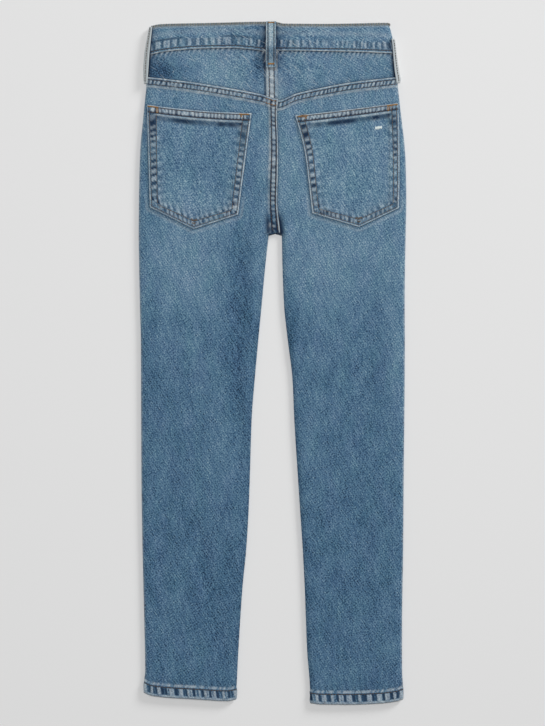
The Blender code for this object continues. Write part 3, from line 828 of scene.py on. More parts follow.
def back_leg(side):
    """A back leg of denim, from its lap over the yoke to the turned hem."""
    rows = [("yoke", v) for v in steps(0.0, (1.4, 0.35), (13.0, 0.8), (38.0, 2.5))]
    rows += [("seat", v) for v in steps(142.0, (CROTCH_DOWN - 1.2, 2.6))]
    rows += [("leg", v) for v in steps(CROTCH_DOWN + 1.2, (792.0, 4.0))]
    rows += [("hem", v) for v in steps(26.0, (16.0, 1.6), (0.8, 0.7), (0.0, 0.3))]
    groups = {}
    for n, (kind, value) in enumerate(rows):
        groups.setdefault(kind, []).append((n, value))
    columns = back_columns(side, 300.0, True).shape[1]
    points = np.zeros((len(rows), columns, 3))
    normals = points.copy()
    out = np.zeros((len(rows), columns))
    dye = {key: out.copy() for key in ("fade", "wear", "deep_and_shade", "inside")}
    for kind, members in groups.items():
        leg = kind in ("leg", "hem")
        order = [n for n, _ in members]
        value = np.array([v for _, v in members])[:, None]
        start = {"yoke": YOKE_START + value, "hem": HEM_START - value}.get(kind, value)
        down = np.repeat(start, columns, 1)
        for _ in range(BEND_ROUNDS):
            across = columns_at(side, down, leg)
            if kind == "yoke":
                down = YOKE_LINE[side](across) + value
            if kind == "hem":
                down = HEM_LINE[side](hem_share(across, down, side)) - value
        place, facing = skin(across, down, side, leg)
        place[:, 0, 2] = SEAM_HEIGHT + SEAM_GAP / 2
        facing[:, 0] = (OUTWARD[side], 0.0, 0.0)
        if leg:
            place[:, -1, 2] = SEAM_HEIGHT + SEAM_GAP / 2
            facing[:, -1] = (-OUTWARD[side], 0.0, 0.0)
        relief = back_relief(side, across, down, leg)
        relief.out[:, 0] *= 0.35
        points[order], normals[order], out[order] = place, facing, relief.out
        for key, values in dye_of(across, down, relief).items():
            dye[key][order] = values
    piece = shell(f"denim_back_leg_{side}", points, normals, out, np.full(out.shape, CLOTH), dye)
    dress(piece, f"back_leg_{side}")


def columns_at(side, down, leg):
    """back_columns where every point of a row has its own down."""
    rows, columns = down.shape
    picked = back_columns(side, down.ravel(), leg).reshape(rows, columns, columns)
    return np.einsum("ijj->ij", picked)


def yoke(side):
    """The V-shaped yoke, from under the waistband to the lapped seam."""
    shares = steps(0.0, (0.12, 0.02), (0.88, 0.05), (1.0, 0.02))[:, None]
    columns = back_columns(side, 60.0, False).shape[1]
    down = np.full((len(shares), columns), 60.0)
    for _ in range(BEND_ROUNDS):
        across = columns_at(side, down, False)
        top = WAIST_BOTTOM(across) + SEAM_GAP
        bottom = YOKE_LINE[side](across) - SEAM_GAP
        down = top + (bottom - top) * shares
    place, facing = skin(across, down, side)
    place[:, 0, 2] = SEAM_HEIGHT + SEAM_GAP / 2
    facing[:, 0] = (OUTWARD[side], 0.0, 0.0)
    r = yoke_relief(side, across, down)
    dye = dye_of(across, down, r)
    dye["turn"] = CROSS_CUT
    inward = np.full(r.out.shape, CLOTH)
    piece = shell(f"denim_yoke_{side}", place, facing, r.out, inward, dye)
    dress(piece, f"yoke_{side}")


def yoke_relief(side, across, down):
    """A yoke: painted shade below the waistband and above the leg's lap, and short puckers from both.
    """
    r = Relief(across, down)
    below_band = down - WAIST_BOTTOM(across)
    # Painted shadows under the waistband and, below, above the lap.
    r.shadow(below_band, 1.3, 1.05)
    r.out += 0.12 * np.exp(-below_band / 6.0) * roping(83, across, 0, 11.0, 0)
    above = YOKE_LINE[side](across) - down
    r.shadow(above, 1.9, 0.72 if side == "right" else 0.60)
    streak = roping(87, across, down, 5.6, 0.5) * fading(below_band - 1.5, 4.0)
    r.wear += 0.50 * unit(streak)
    r.deep_and_shade += 0.32 * unit(-streak)
    pull = roping(85, across, 0, 9.0, 0)
    r.out += 0.14 * fading(above, 4.0) * pull
    if side == "left":
        seat_lap(r, across, down, 1.0, True)
    else:
        beside = across - CENTRE["right"](down) - SEAM_GAP
        r.wear += 0.14 * fading(beside, 5.0) * ramp(down, 60.0, 68.0)
    beside_loops(r, across, down)
    return r


# Waistband
BAND_TOP_STATIONS = 220
BAND_APART = 700.0  # the hidden half is this far along the random patterns from the back half


def front_waist(across, edge):
    """Down to the top or bottom edge of the waistband under the garment."""
    left, right = [np.abs(across / SIDE[side](WAIST_MIDDLE)) for side in ("left", "right")]
    share = np.minimum(np.where(across < 0, left, right), 1.0)
    at_side = WAIST_TOP(across) if edge == "top" else WAIST_BOTTOM(across)
    return at_side + FRONT_WAIST_DIP * (1.0 - share**2.4)


def under_point(across, down, inset, outward, floor):
    """(points, normals) of the cloth on the underside, which turns up at an edge."""
    share = rise(inset, UNDER_RUN)
    height = floor + (SEAM_HEIGHT - SEAM_GAP / 2 - floor) * (1.0 - share)
    lean = np.arccos(np.minimum(share, 1.0))
    facing = np.stack([outward * np.sin(lean), np.zeros(lean.shape), -np.cos(lean)], -1)
    return np.stack([across, HALF_LENGTH - down, height], -1), facing


def band_relief(across, down, up, height, back):
    """Waistband: rolled edges, a row near each, and the seam turned up inside it."""
    r = Relief(across, down)
    along = across + (0.0 if back else BAND_APART)
    r.out -= 0.35 * (1.0 - rolled(up, 1.2))
    r.out -= 0.30 * (1.0 - rolled(height - up, 1.2))
    r.row(up - ROWS["band"][0])
    r.row(height - up - ROWS["band"][1], 1.0, 0.5)
    rope = roping(101, along, up, 9.2, 0.12)
    fine = roping(105, along, up, 4.8, -0.12)
    mix = np.tanh(1.9 * (0.8 * rope + 0.6 * fine))
    strength = unit(0.80 + 0.40 * wobble(109, along, 36.0))
    ledge = ramp(up, 4.0, 5.2) * fall(up, 12.2, 13.6) * strength
    r.out += 0.24 * fall(up, 12.0, 15.0) + 0.28 * mix * ledge
    r.wear += ledge * unit(mix) * 0.50
    r.deep_and_shade += ledge * unit(-mix) * 0.70
    r.wear += 0.12 * bump(up, 21.5, 5.0) + 0.34 * bump(height - up, 3.4, 2.6)
    line = unit(0.55 + 0.55 * wobble(117, along, 17.0) - 0.35 * ramp(across, -30.0, 10.0))
    r.deep_and_shade += 0.72 * bump(up, 14.4, 2.2) * line
    r.wear += fall(up, 0.6, 1.5) * (0.56 + 0.36 * wobble(111, along, 3.6))
    r.wear += 0.35 * fall(height - up, 0.2, 0.8) * (0.5 + 0.5 * wobble(113, along, 3.0))
    r.out += 0.16 * wobble(115, along + 0.6 * up, 15.0) * bump(up, 22.0, 12.0)
    if back:
        beside_loops(r, across, down)
    return r


def beside_loops(r, across, down):
    """Painted shadow on the cloth beside the belt loops and under the centre loop's end, with the
    wear there taken away.
    """
    for side in ("left", "right"):
        inset = np.abs(across - SIDE[side](down))
        at = curve_of(SIDE_LOOPS, f"down_{side}")
        start, end = float(at(0.0)), float(at(1.0))
        by = ramp(down, start - 2.0, start + 3.0) * fall(down, end - 1.0, end + 2.0)
        # Painted shadow beside a side loop.
        r.deep_and_shade += 1.50 * by * fading(inset - 0.5, 1.6)
        r.deep_and_shade += 0.22 * by * fading(inset - 0.5, 7.0)
        r.wear *= 1.0 - by * fall(inset, 1.0, 3.0)
    aside = np.abs(across - LOOP_ACROSS) - LOOP_WIDTH / 2
    by = fall(down, 55.0, 60.0)
    # Painted shadow beside the centre loop, and under its lower end.
    r.deep_and_shade += 0.75 * by * fading(aside, 1.6)
    r.deep_and_shade += 0.52 * by * fading(aside, 8.0)
    r.deep_and_shade += 1.5 * bump(down, 57.6, 2.2) * (aside < 0.3)


def waistband():
    """One folded strip round the waist, its ends lapped under the garment."""
    under_gap = BUTTON_THICK + SEAM_GAP
    underlap_lift = under_gap + BAND_OUT + BAND_IN + SEAM_GAP
    under_insets = steps(0.4, (UNDER_RUN, 0.6))
    stations = [("under_right", x) for x in steps(UNDERLAP_END, (110.0, 4.0))]
    stations += [("bend_under_right", s) for s in under_insets[::-1]]
    stations += [("bend_right", s) for s in EDGE_INSETS]
    stations += [("top", s) for s in np.linspace(1.0, -1.0, BAND_TOP_STATIONS)[1:-1]]
    stations += [("bend_left", s) for s in EDGE_INSETS[::-1]]
    stations += [("bend_under_left", s) for s in under_insets]
    stations += [("under_left", x) for x in steps(-110.0, (OVERLAP_END, 4.0))]
    shares = steps(0.0, (0.06, 0.012), (0.94, 0.034), (1.0, 0.012))
    columns = []
    for kind, value in stations:
        side = "left" if kind.endswith("left") else "right"
        out = OUTWARD[side]
        down = np.full(shares.shape, WAIST_MIDDLE)
        for _ in range(BEND_ROUNDS):
            edge = SIDE[side](down)
            if kind.startswith("bend"):
                across = edge - out * value
            elif kind == "top":
                left, right = SIDE["left"](down) + EDGE_RUN, SIDE["right"](down) - EDGE_RUN
                across = (left + right) / 2 + (right - left) / 2 * value
            else:
                across = np.full(shares.shape, value)
            if "under" in kind:
                high, low = front_waist(across, "top"), front_waist(across, "bottom")
            else:
                high, low = WAIST_TOP(across), WAIST_BOTTOM(across)
            down = high + (low - high) * shares
        back = kind in ("top", "bend_left", "bend_right")
        if back:
            place, facing = skin(across, down, side)
            if value == 0.0 and kind != "top":
                place[:, 2] = SEAM_HEIGHT
                facing[:] = (out, 0.0, 0.0)
        else:
            floor = np.full(shares.shape, BAND_OUT)
            if kind == "under_right":
                floor = floor + underlap_lift * fall(across, 25.0, 46.0)
            if kind == "under_left":
                floor = floor + under_gap * ramp(across, -46.0, -14.0)
            place, facing = under_point(across, down, np.abs(across - edge), out, floor)
        r = band_relief(across, down, low - down, low - high, back)
        if not back:
            r.out = np.minimum(r.out, 0.0)
        columns.append((place, facing, r.out, r.wear, r.deep_and_shade, across, down))
    place, facing, out, wear, deep_and_shade, across, down = [np.stack(part, 1) for part in zip(*columns)]
    out = BAND_OUT + out
    fade = fade_at(across, down) + 0.02
    dye = {"fade": fade, "wear": wear.clip(0, 1.2), "deep_and_shade": deep_and_shade.clip(0, 2.0), "turn": CROSS_CUT}
    piece = shell("denim_waistband", place, facing, out, np.full(out.shape, BAND_IN), dye)
    dress(piece, "waistband")


# Back pockets
POCKET_SIZE = (118.0, 124.0)
FOOT_SLANT = 0.93  # the foot is slanted, so it is nearer than straight down
POCKET_EDGE = 14.0  # how far in from an edge the finer rows and columns reach


def pocket_place(side, u, v):
    """(across, down) on a pocket: u runs from its outer to its inner edge, v from mouth to foot."""
    sizes = POCKETS[side]
    tip = sizes["tip_share"]
    to_tip = np.where(u < tip, u / tip, (1.0 - u) / (1.0 - tip))
    outer_x, outer_d = curve_of(sizes, "outer_across"), curve_of(sizes, "outer_down")
    inner_x, inner_d = curve_of(sizes, "inner_across"), curve_of(sizes, "inner_down")
    across = outer_x(v) + (inner_x(v) - outer_x(v)) * u
    down = outer_d(v) + (inner_d(v) - outer_d(v)) * u
    down = down + sizes["tip_depth"] * to_tip * v**1.5
    down = down + sizes["mouth_sag"] * 4 * u * (1 - u) * (1 - v)
    return across, down


def pocket_distances(side, u, v):
    """Distances in from the mouth, outer edge, inner edge and foot of a pocket."""
    across, _ = pocket_place(side, u, v)
    left, _ = pocket_place(side, u * 0, v)
    right, _ = pocket_place(side, u * 0 + 1, v)
    _, down = pocket_place(side, u, v)
    _, top = pocket_place(side, u, v * 0)
    _, foot = pocket_place(side, u, v * 0 + 1)
    return down - top, np.abs(across - left), np.abs(right - across), (foot - down) * FOOT_SLANT


def pocket_relief(side, u, v):
    """Turned-in edges with double rows, roped between them, and a plain middle."""
    across, down = pocket_place(side, u, v)
    r = Relief(across, down)
    seed = 151 if side == "left" else 191
    mouth, outer, inner, foot = pocket_distances(side, u, v)
    edges = {"outer": (outer, down, 8.4), "inner": (inner, down, 8.4), "foot": (foot, across, 5.4)}
    nearest = np.minimum(np.minimum(outer, inner), np.minimum(foot, mouth))
    on = fall(nearest, POCKET_BORDER, POCKET_BORDER + STEP_RUN)
    r.out += POCKET_RIDGE * on - 0.4 * (1.0 - rolled(nearest, 1.1))
    below_mouth = ramp(mouth, 8.5, 10.5)
    for n, (name, (distance, along, pitch)) in enumerate(edges.items()):
        first, second = ROWS[f"{side}_{name}"]
        others = np.minimum(*[edges[k][0] for k in edges if k != name])
        free = ramp(others - distance, -1.0, 1.0) * below_mouth
        rope = roping(seed + 3 * n, along, distance, pitch, 0.25)
        fine = roping(seed + 60 + n, along, distance, 0.45 * pitch, 0.2)
        rope = np.tanh(2.0 * (rope + 0.45 * fine))
        between = ramp(distance, first, first + 1.2) * fall(distance, second - 1.2, second)
        between = between * free
        much = np.clip(0.78 + 0.42 * wobble(seed + 70 + n, along, 24.0), 0, 1.1)
        r.out += 0.30 * rope * between
        r.wear += 0.50 * much * between * unit(rope)
        lowland = unit(wobble(seed + 50 + n, along, 22.0))
        r.deep_and_shade += between * (0.08 + 0.74 * much * unit(-rope) + 0.34 * lowland)
        r.row(distance - first, ramp(others - first, -0.8, 0.2) * (mouth > 1.2), 0.5)
        r.row(distance - second, ramp(others - second, -0.8, 0.2) * (mouth > 1.2), 0.5)
        draw = fading(distance - second - 1.5, 4.5) * (distance > second + 1.0)
        draw = draw * below_mouth
        pull = roping(seed + 40 + n, along, distance, 1.3 * pitch, 0.3)
        r.out += 0.14 * draw * pull
        drawn = 1.7 if name == "foot" else 1.1
        r.wear += 0.32 * drawn * draw * unit(pull)
        r.deep_and_shade += 0.58 * drawn * draw * unit(-pull)
    first, second = ROWS[f"{side}_mouth"]
    rope = roping(seed + 20, across, mouth, 4.6, 0.1)
    between = ramp(mouth, first, first + 1.2) * fall(mouth, second - 1.4, second)
    between = between * ramp(np.minimum(outer, inner), 3.0, 6.0)
    r.out += 0.22 * rope * between
    rope = np.tanh(2.2 * rope)
    r.wear += between * (0.14 + 0.56 * unit(rope + 0.1))
    r.deep_and_shade += 0.96 * between * unit(-rope)
    r.row(mouth - first)
    r.row(mouth - second, 1.0, 1.15)
    r.deep_and_shade += 0.55 * bump(mouth, second - 0.4, 2.2)
    r.wear -= 0.20 * bump(mouth, second - 0.4, 2.2)
    inside = ramp(np.minimum(outer, inner), 8.0, 12.0)
    lower = bump(mouth, second + 2.3, 1.9) * inside
    r.wear += lower * (0.40 + 0.22 * wobble(seed + 21, across, 5.0))
    below = bump(mouth, second + 6.4, 5.0) * inside
    r.deep_and_shade += below * (0.74 + 0.36 * wobble(seed + 22, across, 7.0))
    edge = fall(nearest, 0.6, 1.4) * (0.8 + 0.3 * wobble(seed, across - down, 4.0))
    r.wear += edge * np.where(inner < 3.0, 0.88, 0.68)
    corner = np.hypot(np.minimum(outer, inner) - 6.0, (mouth - 21.0) * 0.42)
    r.deep_and_shade += 0.52 * np.exp(-((corner / 5.0) ** 2))
    return r


def raised(place, facing, lift):
    """(points, normals) of a face that stands off a surface by its lift."""
    return place + facing * np.asarray(lift)[..., None], facing


def pocket_surface(side, u, v):
    """(points, normals) on the outer face of a pocket."""
    across, down = pocket_place(side, u, v)
    place, facing = skin(across, down, side)
    return raised(place, facing, POCKET_GAP + CLOTH + pocket_relief(side, u, v).out)


def back_pocket(side):
    """A patch pocket of denim on a back leg."""
    rim = steps(0.0, (1.2, 0.4), (POCKET_EDGE, 0.85))
    spots = []
    for size in POCKET_SIZE:
        near = POCKET_EDGE / size
        middle = steps(near, (1 - near, 2.0 / size))[1:-1]
        spots.append(np.concatenate([rim / size, middle, 1.0 - rim[::-1] / size]))
    us, vs = spots
    tip = POCKETS[side]["tip_share"]
    us[np.argmin(np.abs(us - tip))] = tip
    u, v = np.meshgrid(us, vs)
    across, down = pocket_place(side, u, v)
    place, facing = skin(across, down, side)
    r = pocket_relief(side, u, v)
    tone = 0.0 if side == "left" else 0.02
    dye = dye_of(across, down, r, tone=tone)
    out = POCKET_GAP + CLOTH + r.out
    inward = np.full(out.shape, -POCKET_GAP)
    piece = shell(f"denim_back_pocket_{side}", place, facing, out, inward, dye)
    dress(piece, f"back_pocket_{side}")


# Front legs, under the garment
def front_leg(side):
    """A front leg, flat on the floor, from the waistband to the hem, its underside painted dark near
    the fork as shade.
    """
    out = OUTWARD[side]
    rows = [("band", v) for v in steps(0.0, (62.0, 3.1))]
    fork = CROTCH_DOWN + FORK_LOWER
    rows += [("seat", v) for v in steps(140.0, (fork - 1.0, 5.0))]
    rows += [("leg", v) for v in steps(fork + 1.0, (784.0, 6.0))]
    rows += [("hem", v) for v in steps(30.0, (HEM_DEPTH + STEP_RUN, 4.0), (HEM_DEPTH, 0.8))]
    rows += [("hem", v) for v in steps(HEM_DEPTH, (-FRONT_HEM_LONGER, 1.5))[1:]]
    insets = steps(0.0, (1.6, 0.4), (UNDER_RUN, 0.8))
    middle = np.linspace(0.0, 1.0, 31)[1:-1]
    made = []
    for kind, value in rows:
        leg = kind in ("leg", "hem")
        start = {"band": 60.0 + value, "hem": HEM_START - value}.get(kind, value)
        down = np.full(2 * len(insets) + len(middle), start)
        for _ in range(BEND_ROUNDS):
            edge = SIDE[side](down)
            end = INSEAM[side](down) if leg else FLY_LINE + out * SEAM_GAP / 2 + 0 * down
            ahead = edge[: len(insets)] - out * insets
            n = len(insets)
            body = (edge - out * UNDER_RUN)[n:-n]
            stop = (end + out * UNDER_RUN)[n:-n]
            behind = end[-n:] + out * insets[::-1]
            across = np.concatenate([ahead, body + (stop - body) * middle, behind])
            if kind == "band":
                down = front_waist(across, "bottom") + SEAM_GAP + value
            if kind == "hem":
                down = HEM_LINE[side](hem_share(across, down, side)) - value
        from_edge, from_end = np.abs(across - edge), np.abs(across - end)
        inner = (from_end < from_edge) & leg
        inset = np.where(inner, from_end, from_edge)
        points, normals = under_point(across, down, inset, np.where(inner, -out, out), 0.0)
        up = HEM_LINE[side](hem_share(across, down, side)) - down if leg else 99.0 + 0 * down
        thick = CLOTH + HEM_RIDGE * fall(up, HEM_DEPTH, HEM_DEPTH + STEP_RUN)
        wear = 0.5 * fall(up, 0.4, 1.4) + 0.3 * bump(up, 13.4, 1.5)
        # Painted shade near the fork, in the gap between the legs.
        from_fork = ((down - fork) / 7.0) ** 2 + ((across - FLY_LINE) / 13.0) ** 2
        shade = unit(1.6 * np.exp(-from_fork))
        deep_and_shade = 0.3 * bump(up, 11.4, 1.2)
        made.append((points, normals, thick, fade_at(across, down), wear, deep_and_shade, shade))
    place, facing, thick, fade, wear, deep_and_shade, shade = [np.array(part) for part in zip(*made)]
    dye = {"fade": fade, "wear": wear, "deep_and_shade": deep_and_shade, "shade": shade}
    piece = shell(f"denim_front_leg_{side}", place, facing, np.zeros(thick.shape), thick, dye)
    dress(piece, f"front_leg_{side}")


def fly_shield():
    """The strip behind the fly, inside the front."""
    left = FLY_LINE - FLY_TUCK
    top = front_waist(np.array(FLY_LINE), "bottom") + 1.0
    u, v = np.meshgrid(np.linspace(0, 1, 13), np.linspace(0, 1, 30))
    x, y = left + FLY_WIDTH * u, HALF_LENGTH - top - FLY_LENGTH * v
    place = np.stack([x, y, np.full(u.shape, CLOTH + SEAM_GAP)], -1)
    facing = np.zeros(place.shape)
    facing[..., 2] = -1.0
    zero = np.zeros(u.shape)
    piece = shell("denim_fly_shield", place, facing, zero, zero + CLOTH, {})
    dress(piece, "fly_shield")


# Belt loops
CENTRE_LOOP = {"seed": 231, "length": LOOP_LENGTH, "rubbed": 0.36}


def loop_relief(seed, aside, along, length, rubbed):
    """A belt loop: rolled edges, two rows, and ridges where it is folded inside."""
    r = Relief(aside, along)
    width = LOOP_WIDTH
    edge = np.minimum(aside, width - aside)
    r.out -= 0.45 * (1.0 - rolled(edge, 1.0))
    for place in ROWS["loop"]:
        r.row(aside - place)
    rope = roping(seed, along, aside, 6.0, 0.4)
    rim = fall(aside, 0.9, 1.7) + 0.5 * bump(width - aside, 1.7, 1.1)
    # Painted shade along the loop's far edge, where it meets the cloth beside it.
    r.deep_and_shade += 0.70 * fall(width - aside, 0.3, 1.2)
    r.wear += 0.62 * rim * (0.85 + 0.15 * wobble(seed + 2, along, 6.0))
    r.wear += rubbed * bump(aside, width / 2, 4.2) * (0.75 + 0.25 * rope)
    r.out += 0.12 * bump(aside, width / 2, 3.6) * rope
    ends = np.minimum(along, length - along)
    r.wear += 0.35 * fall(ends, 0.5, 1.6)
    return r


def centre_loop_place(aside, along):
    """(points, lift) of the centre belt loop's underside."""
    share = along / LOOP_LENGTH
    down = LOOP_START + along
    over = np.where(share < 0.6, BAND_OUT + SEAM_GAP, LAP_RIDGE + SEAM_GAP)
    arch = ramp(share, 0.0, 0.3) * fall(share, 0.6, 0.95)
    across = LOOP_ACROSS + aside - LOOP_WIDTH / 2
    points, _ = skin(across, down, "left")
    ridge, _ = skin(LOOP_ACROSS + 0 * down, down, "left")
    points[..., 2] = np.maximum(points[..., 2], ridge[..., 2])
    return points, over + 0.1 + LOOP_RISE * arch


def centre_loop():
    """The belt loop on the centre back."""
    aside, along = np.meshgrid(
        np.linspace(0, LOOP_WIDTH, 25), np.linspace(0, LOOP_LENGTH, 90)
    )
    points, lift = centre_loop_place(aside, along)
    facing = np.zeros(points.shape)
    facing[..., 2] = 1.0
    r = loop_relief(aside=aside, along=along, **CENTRE_LOOP)
    r.wear += 0.16 * bump(aside, 4.6, 2.6) - 0.30 * ramp(along, 29.0, 35.0)
    r.deep_and_shade += 0.35 * ramp(along, 29.0, 35.0) * fall(along, 46.0, 50.0)
    dye = dye_of(points[..., 0], HALF_LENGTH - points[..., 1], r, tone=0.22)
    piece = shell("denim_loop_centre", points, facing, lift + LOOP_THICK + r.out, -lift, dye)
    dress(piece, "belt_loop_centre")


def side_loop_place(side, share, turn):
    """(points, normals, down) on a side loop: share along it, and turn in degrees round it."""
    out = OUTWARD[side]
    centre_inset, centre_height, half_height = 1.6, 3.6, 3.5
    down = curve_of(SIDE_LOOPS, f"down_{side}")(share)
    stand = curve_of(SIDE_LOOPS, f"out_{side}")(share)
    angle = np.radians(turn)
    reach = stand + centre_inset + BAND_OUT
    x = SIDE[side](down) - out * centre_inset + out * reach * np.cos(angle)
    z = centre_height + half_height * np.sin(angle) + 0 * reach
    points = np.stack([x, HALF_LENGTH - down + 0 * x, z], -1)
    facing = np.stack([out * np.cos(angle) / reach, 0 * x, np.sin(angle) / half_height + 0 * x], -1)
    facing /= np.linalg.norm(facing, axis=-1, keepdims=True)
    return points, facing, down


def side_loop(side):
    """A belt loop at the side, curled round the edge of the lying waistband."""
    share = np.linspace(0.0, 1.0, 80)[:, None]
    turn = np.linspace(78.0, -38.0, 22)[None, :]
    points, facing, down = side_loop_place(side, share, turn)
    x = points[..., 0]
    aside = np.linspace(0, LOOP_WIDTH, 22)[None, :] + 0 * x
    along = (down - down[0]) + 0 * x
    r = loop_relief(241 if side == "left" else 251, aside, along, float(np.ptp(down)), 0.62)
    r.wear += 0.70 * ramp(aside, 1.0, 3.5)
    dye = dye_of(x, down + 0 * x, r, 0.75, 0.34)
    half = LOOP_THICK / 2
    piece = shell(f"denim_loop_{side}", points, facing, half + r.out, half + 0 * x, dye)
    dress(piece, f"belt_loop_{side}")


# Stitches
GOLDEN_FROM = -9.0
TOP_ROW = "thread_waistband_top"
LOOP_TACKS = ((1.6, 1.9), (51.8, 3.0))  # place along the loop, and width
SIDE_LOOP_ROW = 48.0  # degrees round the curl
TACK_PITCH = 0.6
TACK_FAT = 0.85
STITCH_RINGS = ((-1.0, 0.15), (-0.78, 0.72), (-0.3, 1.0), (0.3, 1.0), (0.78, 0.72), (1.0, 0.15))
STITCH_SIDES = 6


def stitches(places, facings, pitch, seed, fat=1.0):
    """(corners, faces) of a row of stitches along a line of points on the cloth."""
    gaps = np.linalg.norm(np.diff(places, axis=0), axis=1)
    walked = np.concatenate([[0.0], np.cumsum(gaps)])
    count = max(2, round(walked[-1] / pitch))
    random = np.random.default_rng(seed)
    middles = (np.arange(count) + 0.5) * walked[-1] / count
    middles += random.normal(0, 0.10, count)
    half = 0.43 * walked[-1] / count * (1 + random.normal(0, 0.05, count))
    reads = [
        np.stack([np.interp(spot, walked, places[:, k]) for k in range(3)], -1)
        for spot in (middles - half, middles, middles + half)
    ]
    up = np.stack([np.interp(middles, walked, facings[:, k]) for k in range(3)], -1)
    ahead = reads[2] - reads[0]
    ahead /= np.linalg.norm(ahead, axis=1, keepdims=True)
    across = np.cross(up, ahead)
    across /= np.linalg.norm(across, axis=1, keepdims=True)
    up = np.cross(ahead, across)
    ahead = ahead + across * random.normal(0, 0.05, count)[:, None]
    corners, faces = [], []
    turn = 2 * np.pi * np.arange(STITCH_SIDES) / STITCH_SIDES
    for along, thick in STITCH_RINGS:
        radius = THREAD_RADIUS * fat * (0.35 + 0.65 * thick)
        dive = THREAD_SUNK + THREAD_RADIUS * fat * 1.5 * along**4
        centre = reads[1] + ahead * (along * half)[:, None] + up * (THREAD_RADIUS * fat - dive)
        aside = across[:, None] * np.cos(turn)[None, :, None]
        corners.append(centre[:, None] + radius * (aside + up[:, None] * np.sin(turn)[None, :, None]))
    corners = np.stack(corners, 1)  # stitch, ring, side, xyz
    rings, sides = len(STITCH_RINGS), STITCH_SIDES
    quads = []
    for r in range(rings - 1):
        for s in range(sides):
            t = (s + 1) % sides
            quads.append((r * sides + s, r * sides + t, (r + 1) * sides + t, (r + 1) * sides + s))
    caps = [tuple(range(sides))[::-1], tuple((rings - 1) * sides + s for s in range(sides))]
    per = rings * sides
    base = np.arange(count) * per
    for start in base:
        faces += [tuple(i + start for i in q) for q in quads]
        faces += [tuple(i + start for i in c) for c in caps]
    return corners.reshape(-1, 3), faces


def sew(name, rows, material):
    """Joins rows of stitches into one piece of thread."""
    corners, faces, shift = [], [], 0
    for n, (places, facings, pitch, fat) in enumerate(rows):
        some, quads = stitches(places, facings, pitch, hash_of(name) + n, fat)
        corners.append(some)
        faces += [tuple(i + shift for i in q) for q in quads]
        shift += len(some)
    mesh = bpy.data.meshes.new(name)
    mesh.from_pydata((np.concatenate(corners) * MM).tolist(), [], faces)
    face_out(mesh)
    mesh.shade_smooth()
    mesh.materials.append(material)
    made = put(name, mesh)
    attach(made, "root")


def hash_of(name):
    """A seed that is the same each run."""
    return sum(ord(letter) * (n + 3) for n, letter in enumerate(name))


def on_back(side, across, down, leg=False):
    """(points, normals) on the outer face of a back leg."""
    return raised(*skin(across, down, side, leg), back_relief(side, across, down, leg).out)


def seam_rows():
    """Every visible row of stitches, by piece: (points, normals, pitch, thickness)."""
    rows = {}
    for side in ("left", "right"):
        if side == "left":
            xs = np.arange(SIDE["left"](76.0) + 1.5, CENTRE["right"](98.0) - 1.2, SEWN_STEP)
        else:
            xs = np.arange(CENTRE["right"](98.0) + 1.2, SIDE["right"](76.0) - 1.5, SEWN_STEP)
        made = []
        for place in ROWS["yoke"]:
            plain = xs[(xs < GOLDEN_FROM) | (side == "right")]
            down = YOKE_LINE[side](plain) + place
            made.append((*on_back(side, plain, down), PITCH["yoke"], 1.0))
        rows[f"thread_yoke_{side}"] = made
    made = []
    for place in ROWS["seat"]:
        down = np.arange(100.5, 255.0, SEWN_STEP)
        width = CENTRE["right"](down) - CENTRE["left"](down)
        across = CENTRE["right"](down) - place * width / SEAT_STRIP
        made.append((*on_back("left", across, down), PITCH["seat"], 1.0))
    for place in ROWS["seat_yoke"]:
        down = np.arange(38.0, YOKE_LINE["left"](1.0) - 1.0, SEWN_STEP)
        across = CENTRE["right"](down) - place
        lift = yoke_relief("left", across, down).out
        made.append((*raised(*skin(across, down, "left"), lift), PITCH["seat"], 1.0))
    rows["thread_seat"] = made
    for side in ("left", "right"):
        share = np.linspace(0.004, 0.996, 240)
        down = np.full(share.shape, 820.0)
        for _ in range(BEND_ROUNDS):
            edge, end = SIDE[side](down), INSEAM[side](down)
            across = edge + (end - edge) * share
            down = HEM_LINE[side](share) - ROWS["hem"][0]
        rows[f"thread_hem_{side}"] = [(*on_back(side, across, down, True), PITCH["hem"], 1.35)]
    first, last = SIDE["left"](WAIST_MIDDLE) + 1.0, SIDE["right"](WAIST_MIDDLE) - 1.0
    across = np.arange(first, last, SEWN_STEP)
    low, high = WAIST_BOTTOM(across), WAIST_TOP(across)
    for name, down, thickness in (
        ("thread_waistband", low - ROWS["band"][0], 1.2),
        (TOP_ROW, high + ROWS["band"][1], 2.2),
        (TOP_ROW, high + ROWS["band"][1] + 1.5, 1.6),
    ):
        lift = BAND_OUT + band_relief(across, down, low - down, low - high, True).out
        row = (*raised(*skin(across, down, "left"), lift), PITCH["band"], thickness)
        rows.setdefault(name, []).append(row)
    for side in ("left", "right"):
        spot, facing, _ = side_loop_place(side, np.linspace(0.02, 0.98, 120), SIDE_LOOP_ROW)
        rows[f"thread_loop_{side}"] = [(*raised(spot, facing, LOOP_THICK / 2), PITCH["loop"], 1.2)]
    along = np.arange(1.0, 55.0, SEWN_STEP)
    rows["thread_loop_centre"] = [
        (*on_centre_loop(np.full(along.shape, place), along), PITCH["loop"], 1.1)
        for place in ROWS["loop"]
    ]
    return rows


def golden_rows():
    """Rows in golden thread: where the left yoke ends over the centre, and the loops' tacks."""
    made = []
    for place in ROWS["yoke"]:
        across = np.arange(GOLDEN_FROM, CENTRE["right"](98.0) - 1.0, SEWN_STEP)
        down = YOKE_LINE["left"](across) + place
        made.append((*on_back("left", across, down), PITCH["yoke"], 1.0))
    for along, width in LOOP_TACKS:
        made.append(bartack(on_centre_loop, (2.6, along), (LOOP_WIDTH - 2.2, along), width))
    return made


def on_centre_loop(aside, along):
    """(points, normals) on the outer face of the centre belt loop."""
    spot, lift = centre_loop_place(aside, along)
    spot[..., 2] += lift + LOOP_THICK + loop_relief(aside=aside, along=along, **CENTRE_LOOP).out
    facing = np.zeros(spot.shape)
    facing[..., 2] = 1.0
    return spot, facing


